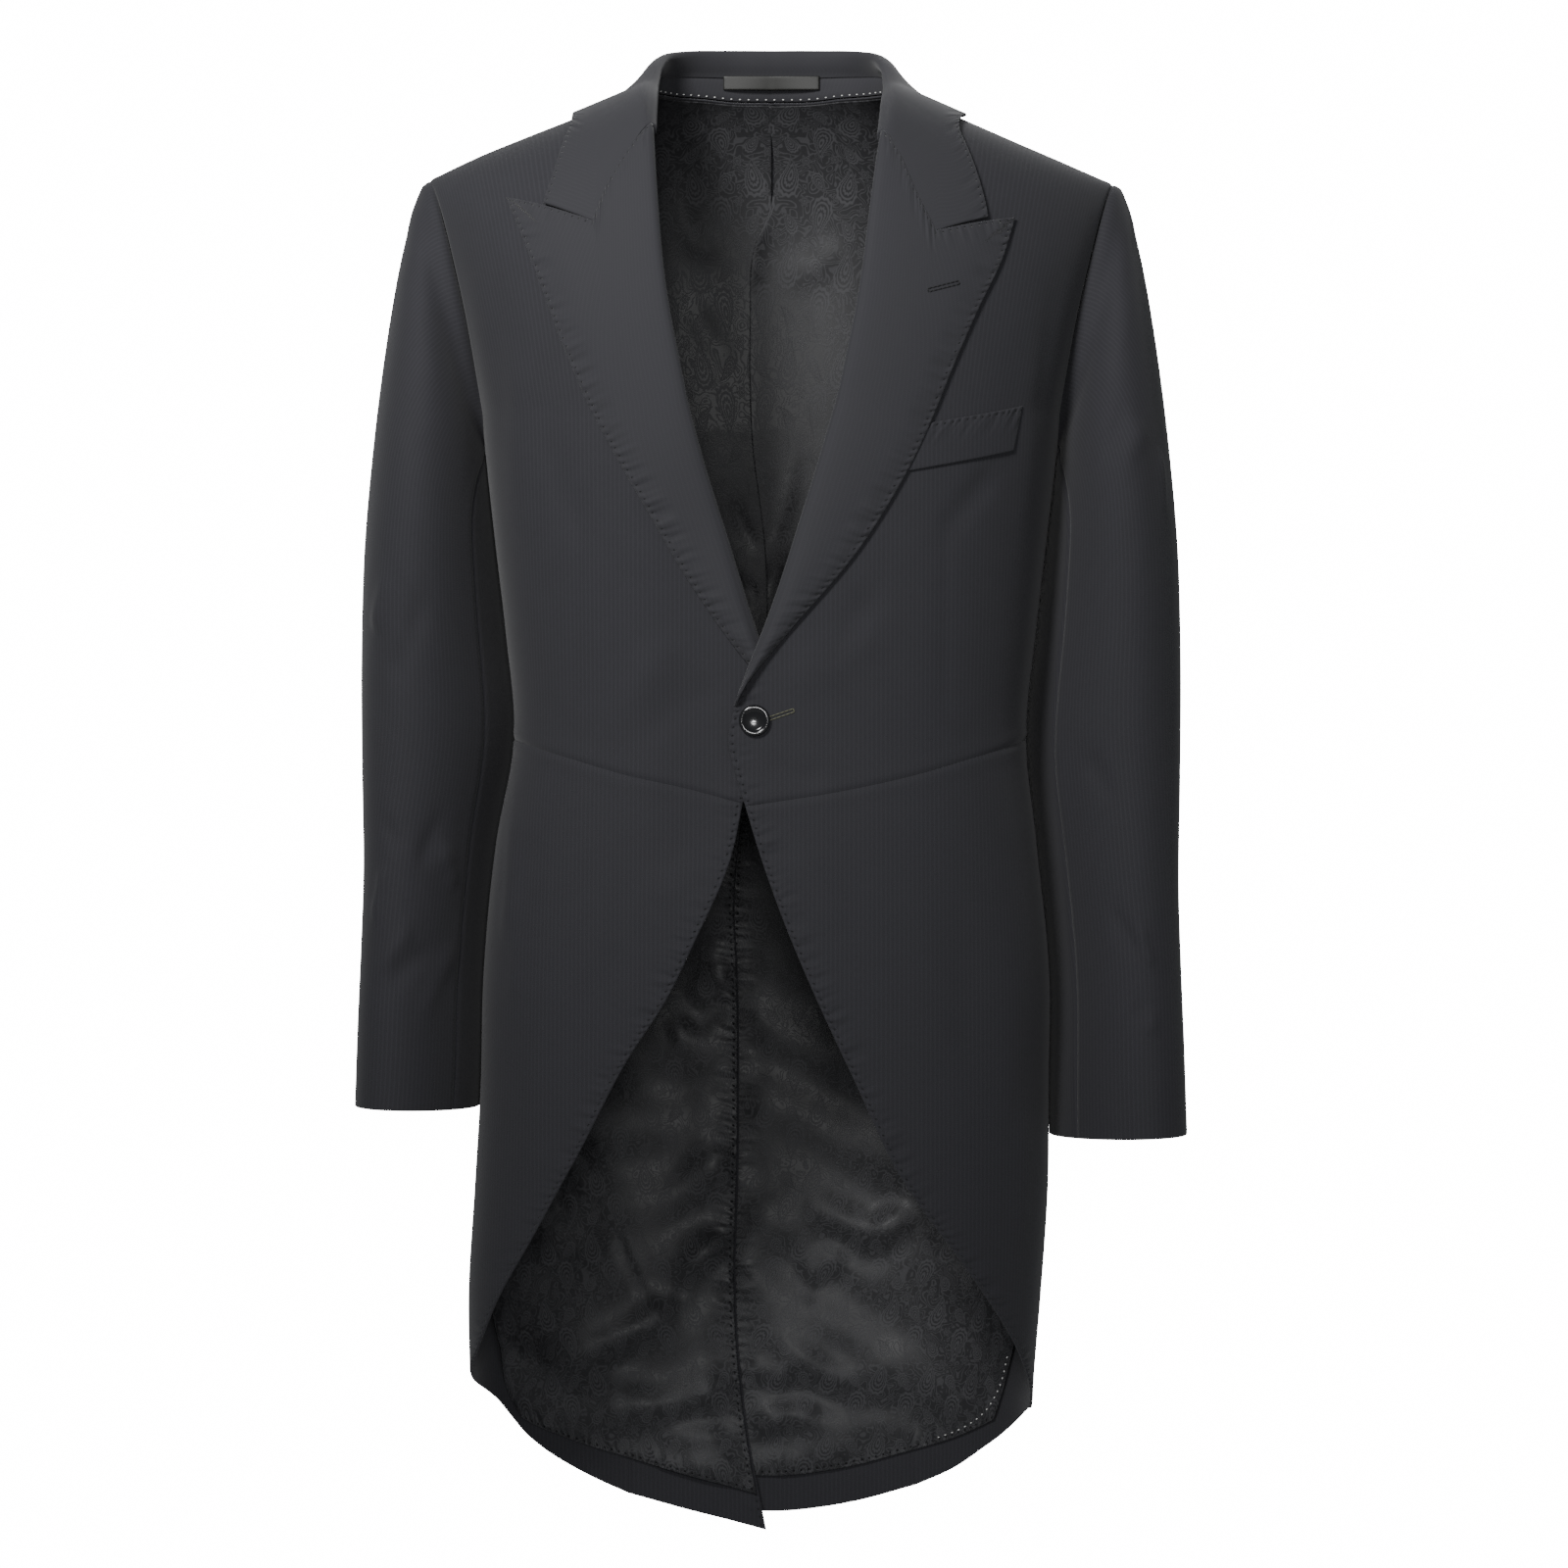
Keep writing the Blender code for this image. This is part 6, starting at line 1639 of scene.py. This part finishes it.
def add_stitching(tree):
    """The pick stitching of this cloth, from the distances kept on its points."""
    stitch = put(tree, "ShaderNodeGroup", node_tree=bpy.data.node_groups["pick stitch"])
    for label, source in (("Off", "stitch_off"), ("Along", "stitch_along")):
        read = put(tree, "ShaderNodeAttribute", attribute_name=source)
        tree.links.new(read.outputs["Fac"], stitch.inputs[label])
    return stitch.outputs


def satin_lining(name, colour, roughness):
    """Black satin with a paisley woven into it, a little lighter and duller than its ground."""
    tree, shader, uv = new_finish(name)
    shader.inputs["Specular IOR Level"].default_value = SATIN_SPECULAR
    paisley = put(tree, "ShaderNodeGroup", node_tree=bpy.data.node_groups["paisley"])
    tree.links.new(uv, paisley.inputs["Vector"])
    line = paisley.outputs["Line"]
    stitch = add_stitching(tree)
    # painted shade: the colour is 60% darker in each pick stitch's dimple
    painted_dimple_shade = sum_of(tree, "MULTIPLY_ADD", stitch["Mask"], -0.6, 1.0)
    tone = sum_of(tree, "MULTIPLY_ADD", line, PAISLEY_TONE, 1.0)
    tinted(tree, colour, sum_of(tree, "MULTIPLY", tone, painted_dimple_shade), shader)
    tree.links.new(sum_of(tree, "MULTIPLY_ADD", line, 0.20, roughness), shader.inputs["Roughness"])
    add_relief(tree, shader, (0.5, 0.00008, line), (1.0, 0.0016, stitch["Height"]))


def plain_finish(name, colour, roughness):
    made = bpy.data.materials.new(name)
    made.use_nodes = True
    shader = made.node_tree.nodes["Principled BSDF"]
    shader.inputs["Base Color"].default_value = (*colour, 1)
    shader.inputs["Roughness"].default_value = roughness
    return shader


def ribbon_satin(name, colour):
    """Olive satin with fine lines along it."""
    tree, shader, uv = new_finish(name)
    stretch = put(tree, "ShaderNodeVectorMath", {0: uv, 1: (40, 2600, 1)}, operation="MULTIPLY").outputs[0]
    streak = noise(tree, stretch, 1.0, 2.0)
    tinted(tree, colour, sum_of(tree, "MULTIPLY_ADD", streak, 0.7, 0.65), shader)
    shader.inputs["Roughness"].default_value = 0.45


def make_finishes(choices):
    make_weave(choices)
    make_pick_stitch(choices)
    make_drop()
    make_rosette()
    make_paisley()
    stitched_cloth("wool_cloth", choices.wool, 0.82, 1.0, 0.12)
    stitched_cloth("facing_cloth", choices.facing, 0.78, 0.35, 0.15)
    satin_lining("lining_satin", choices.satin, 0.44)
    ribbon_satin("loop_satin", choices.loop)
    horn = plain_finish("button_horn", (0.008, 0.008, 0.009), 0.16)
    horn.inputs["Coat Weight"].default_value = 0.6
    plain_finish("white_thread", (0.75, 0.75, 0.72), 0.7)
    plain_finish("black_thread", (0.012, 0.012, 0.013), 0.6)
    plain_finish("olive_thread", (0.10, 0.10, 0.065), 0.6)
    plain_finish("pale_floor", (0.8, 0.8, 0.8), 0.6)


# ---------------------------------------------------------------- stage


def add_lamp(name, kind, spot, aim, power):
    """A lamp at spot that looks at aim."""
    light = bpy.data.lights.new(name, kind)
    light.energy = power
    lamp = bpy.data.objects.new(name, light)
    lamp.location = spot
    lamp.rotation_euler = (Vector(aim) - Vector(spot)).to_track_quat("-Z", "Y").to_euler()
    bpy.context.scene.collection.objects.link(lamp)
    return light


def add_lights(choices):
    key = add_lamp("key", "SPOT", KEY_AT, KEY_AIM, choices.key_power)
    key.spot_size = radians(KEY_CONE)
    key.spot_blend = 1.0
    key.shadow_soft_size = KEY_RADIUS
    for name, spot, size, power in (
            ("fill", FILL_AT, FILL_SIZE, choices.fill_power), ("rim", RIM_AT, RIM_SIZE, choices.rim_power)):
        light = add_lamp(name, "AREA", spot, MIDDLE, power)
        light.shape = "DISK"
        light.size = size


def add_floor():
    bm = bmesh.new()
    bmesh.ops.create_circle(bm, cap_ends=True, segments=96, radius=FLOOR_R)
    bmesh.ops.translate(bm, verts=bm.verts[:], vec=(0, 0, FLOOR_Z))
    mesh = bpy.data.meshes.new("floor")
    bm.to_mesh(mesh)
    bm.free()
    mesh.materials.append(bpy.data.materials["pale_floor"])
    floor = bpy.data.objects.new("floor", mesh)
    bpy.context.scene.collection.objects.link(floor)


def add_camera(choices):
    camera = bpy.data.cameras.new("camera")
    camera.sensor_width = SENSOR
    camera.lens = choices.lens
    camera.dof.use_dof = False
    eye = bpy.data.objects.new("camera", camera)
    eye.location = CAMERA_AT
    eye.rotation_euler = (radians(90), 0, 0)
    bpy.context.scene.collection.objects.link(eye)
    bpy.context.scene.camera = eye


def add_surroundings(choices):
    """A white background, and a dimmer soft light from all round."""
    world = bpy.data.worlds.new("studio")
    bpy.context.scene.world = world
    world.use_nodes = True
    tree = world.node_tree
    tree.nodes.clear()
    soft = put(tree, "ShaderNodeBackground", {"Color": SKY, "Strength": choices.soft_light})
    seen = put(tree, "ShaderNodeBackground", {"Color": (1, 1, 1, 1), "Strength": choices.background})
    path = put(tree, "ShaderNodeLightPath")
    mix = put(tree, "ShaderNodeMixShader", {
        0: path.outputs["Is Camera Ray"], 1: soft.outputs[0], 2: seen.outputs[0]})
    put(tree, "ShaderNodeOutputWorld", {"Surface": mix.outputs[0]})


# ---------------------------------------------------------------- settings


class COAT_PG_finishes(bpy.types.PropertyGroup):
    """Colours of the cloth, and the scale of its weave, stitching and lining"""

    wool: bpy.props.FloatVectorProperty(
        name="Wool", description="Colour of the shell cloth", subtype="COLOR", min=0, max=1, default=WOOL)
    facing: bpy.props.FloatVectorProperty(
        name="Facing", description="Colour of the lapels and the collar", subtype="COLOR", min=0, max=1,
        default=FACING)
    satin: bpy.props.FloatVectorProperty(
        name="Lining", description="Colour of the lining's ground", subtype="COLOR", min=0, max=1,
        default=SATIN)
    loop: bpy.props.FloatVectorProperty(
        name="Hanger loop", description="Colour of the hanger loop's satin", subtype="COLOR", min=0, max=1,
        default=OLIVE)
    stripe_pitch: bpy.props.FloatProperty(
        name="Stripe pitch", description="Distance from one self stripe to the next", unit="LENGTH",
        min=0.001, default=STRIPE_PITCH)
    twill_pitch: bpy.props.FloatProperty(
        name="Twill pitch", description="Distance from one twill line to the next", unit="LENGTH",
        min=0.0005, default=TWILL_PITCH)
    stitch_pitch: bpy.props.FloatProperty(
        name="Stitch pitch", description="Distance from one pick stitch to the next", unit="LENGTH",
        min=0.002, default=STITCH_PITCH)
    stitch_inset: bpy.props.FloatProperty(
        name="Stitch inset", description="Distance from an edge in to its pick stitching", unit="LENGTH",
        min=0.001, default=STITCH_INSET)


class COAT_PG_stage(bpy.types.PropertyGroup):
    """Lights, background and lens"""

    key_power: bpy.props.FloatProperty(
        name="Key light", description="Power of the light from the upper left", unit="POWER", min=0,
        default=KEY_POWER)
    fill_power: bpy.props.FloatProperty(
        name="Fill light", description="Power of the light from the right", unit="POWER", min=0,
        default=FILL_POWER)
    rim_power: bpy.props.FloatProperty(
        name="Rim light", description="Power of the light from behind", unit="POWER", min=0,
        default=RIM_POWER)
    soft_light: bpy.props.FloatProperty(
        name="Soft light", description="Strength of the light from all round", min=0, default=SOFT_LIGHT)
    background: bpy.props.FloatProperty(
        name="Background", description="Brightness of the white background", min=0, default=BACKGROUND)
    lens: bpy.props.FloatProperty(
        name="Lens", description="Focal length of the camera in millimetres", unit="CAMERA", min=10,
        default=CAMERA_LENS)


# ---------------------------------------------------------------- operators


class COAT_OT_finishes(bpy.types.Operator):
    """Make the cloth, lining, horn and thread finishes"""

    bl_idname = "coat.finishes"
    bl_label = "Finishes"

    def execute(self, context):
        make_finishes(context.scene.coat_finishes)
        return {"FINISHED"}


class COAT_OT_foreparts(bpy.types.Operator):
    """Sew the two foreparts"""

    bl_idname = "coat.foreparts"
    bl_label = "Foreparts"

    def execute(self, context):
        add_shell("forepart", "wool_cloth")
        return {"FINISHED"}


class COAT_OT_side_bodies(bpy.types.Operator):
    """Sew the two side bodies"""

    bl_idname = "coat.side_bodies"
    bl_label = "Side bodies"

    def execute(self, context):
        add_shell("side_body", "wool_cloth")
        return {"FINISHED"}


class COAT_OT_skirts(bpy.types.Operator):
    """Sew the two cutaway skirts"""

    bl_idname = "coat.skirts"
    bl_label = "Skirts"

    def execute(self, context):
        add_shell("skirt", "wool_cloth")
        return {"FINISHED"}


class COAT_OT_backs(bpy.types.Operator):
    """Sew the two backs with their vent"""

    bl_idname = "coat.backs"
    bl_label = "Backs"

    def execute(self, context):
        add_shell("back", "wool_cloth")
        return {"FINISHED"}


class COAT_OT_lapels(bpy.types.Operator):
    """Roll the two peak lapels"""

    bl_idname = "coat.lapels"
    bl_label = "Lapels"

    def execute(self, context):
        add_lapels("facing_cloth")
        return {"FINISHED"}


class COAT_OT_collar(bpy.types.Operator):
    """Roll the collar's leaf and set its stand inside"""

    bl_idname = "coat.collar"
    bl_label = "Collar"

    def execute(self, context):
        add_collar("facing_cloth")
        add_stand("facing_cloth")
        return {"FINISHED"}


class COAT_OT_sleeves(bpy.types.Operator):
    """Set in the top and under sleeves"""

    bl_idname = "coat.sleeves"
    bl_label = "Sleeves"

    def execute(self, context):
        add_sleeves("wool_cloth")
        return {"FINISHED"}


class COAT_OT_linings(bpy.types.Operator):
    """Hang the back and tail linings"""

    bl_idname = "coat.linings"
    bl_label = "Linings"

    def execute(self, context):
        add_back_linings("lining_satin")
        add_tail_linings("lining_satin")
        return {"FINISHED"}


class COAT_OT_welt(bpy.types.Operator):
    """Sew the breast welt"""

    bl_idname = "coat.welt"
    bl_label = "Breast welt"

    def execute(self, context):
        add_welt("wool_cloth")
        return {"FINISHED"}


class COAT_OT_button(bpy.types.Operator):
    """Turn the front button and sew it on"""

    bl_idname = "coat.button"
    bl_label = "Front button"

    def execute(self, context):
        add_button("button_horn")
        return {"FINISHED"}


class COAT_OT_hanger_loop(bpy.types.Operator):
    """Sew the hanger loop across the collar's stand"""

    bl_idname = "coat.hanger_loop"
    bl_label = "Hanger loop"

    def execute(self, context):
        add_hanger_loop("loop_satin")
        return {"FINISHED"}


class COAT_OT_stitching(bpy.types.Operator):
    """Sew the buttonholes and the stitches that show as threads"""

    bl_idname = "coat.stitching"
    bl_label = "Stitching"

    def execute(self, context):
        add_stitches()
        return {"FINISHED"}


class COAT_OT_stage(bpy.types.Operator):
    """Set up the floor, the lights, the background and the camera"""

    bl_idname = "coat.stage"
    bl_label = "Stage"

    def execute(self, context):
        choices = context.scene.coat_stage
        add_floor()
        add_lights(choices)
        add_surroundings(choices)
        add_camera(choices)
        return {"FINISHED"}


OPERATORS = (
    COAT_OT_finishes, COAT_OT_foreparts, COAT_OT_side_bodies, COAT_OT_skirts, COAT_OT_backs, COAT_OT_lapels,
    COAT_OT_collar, COAT_OT_sleeves, COAT_OT_linings, COAT_OT_welt, COAT_OT_button, COAT_OT_hanger_loop,
    COAT_OT_stitching, COAT_OT_stage,
)


class COAT_PT_panel(bpy.types.Panel):
    """Settings and steps of the coat"""

    bl_idname = "COAT_PT_panel"
    bl_label = "Morning coat"
    bl_space_type = "VIEW_3D"
    bl_region_type = "UI"
    bl_category = "Coat"

    def draw(self, context):
        for group in (context.scene.coat_finishes, context.scene.coat_stage):
            box = self.layout.box()
            for setting in group.__annotations__:
                box.prop(group, setting)
        column = self.layout.column(align=True)
        for step in OPERATORS:
            column.operator(step.bl_idname)


CLASSES = (COAT_PG_finishes, COAT_PG_stage, *OPERATORS, COAT_PT_panel)


def register():
    for made in CLASSES:
        bpy.utils.register_class(made)
    bpy.types.Scene.coat_finishes = bpy.props.PointerProperty(type=COAT_PG_finishes)
    bpy.types.Scene.coat_stage = bpy.props.PointerProperty(type=COAT_PG_stage)


def unregister():
    del bpy.types.Scene.coat_stage
    del bpy.types.Scene.coat_finishes
    for made in reversed(CLASSES):
        bpy.utils.unregister_class(made)


def main():
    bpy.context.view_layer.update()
    register()
    bpy.ops.coat.finishes()
    bpy.ops.coat.foreparts()
    bpy.ops.coat.side_bodies()
    bpy.ops.coat.skirts()
    bpy.ops.coat.backs()
    bpy.ops.coat.lapels()
    bpy.ops.coat.collar()
    bpy.ops.coat.sleeves()
    bpy.ops.coat.linings()
    bpy.ops.coat.welt()
    bpy.ops.coat.button()
    bpy.ops.coat.hanger_loop()
    bpy.ops.coat.stitching()
    bpy.ops.coat.stage()


if __name__ == "__main__":
    main()
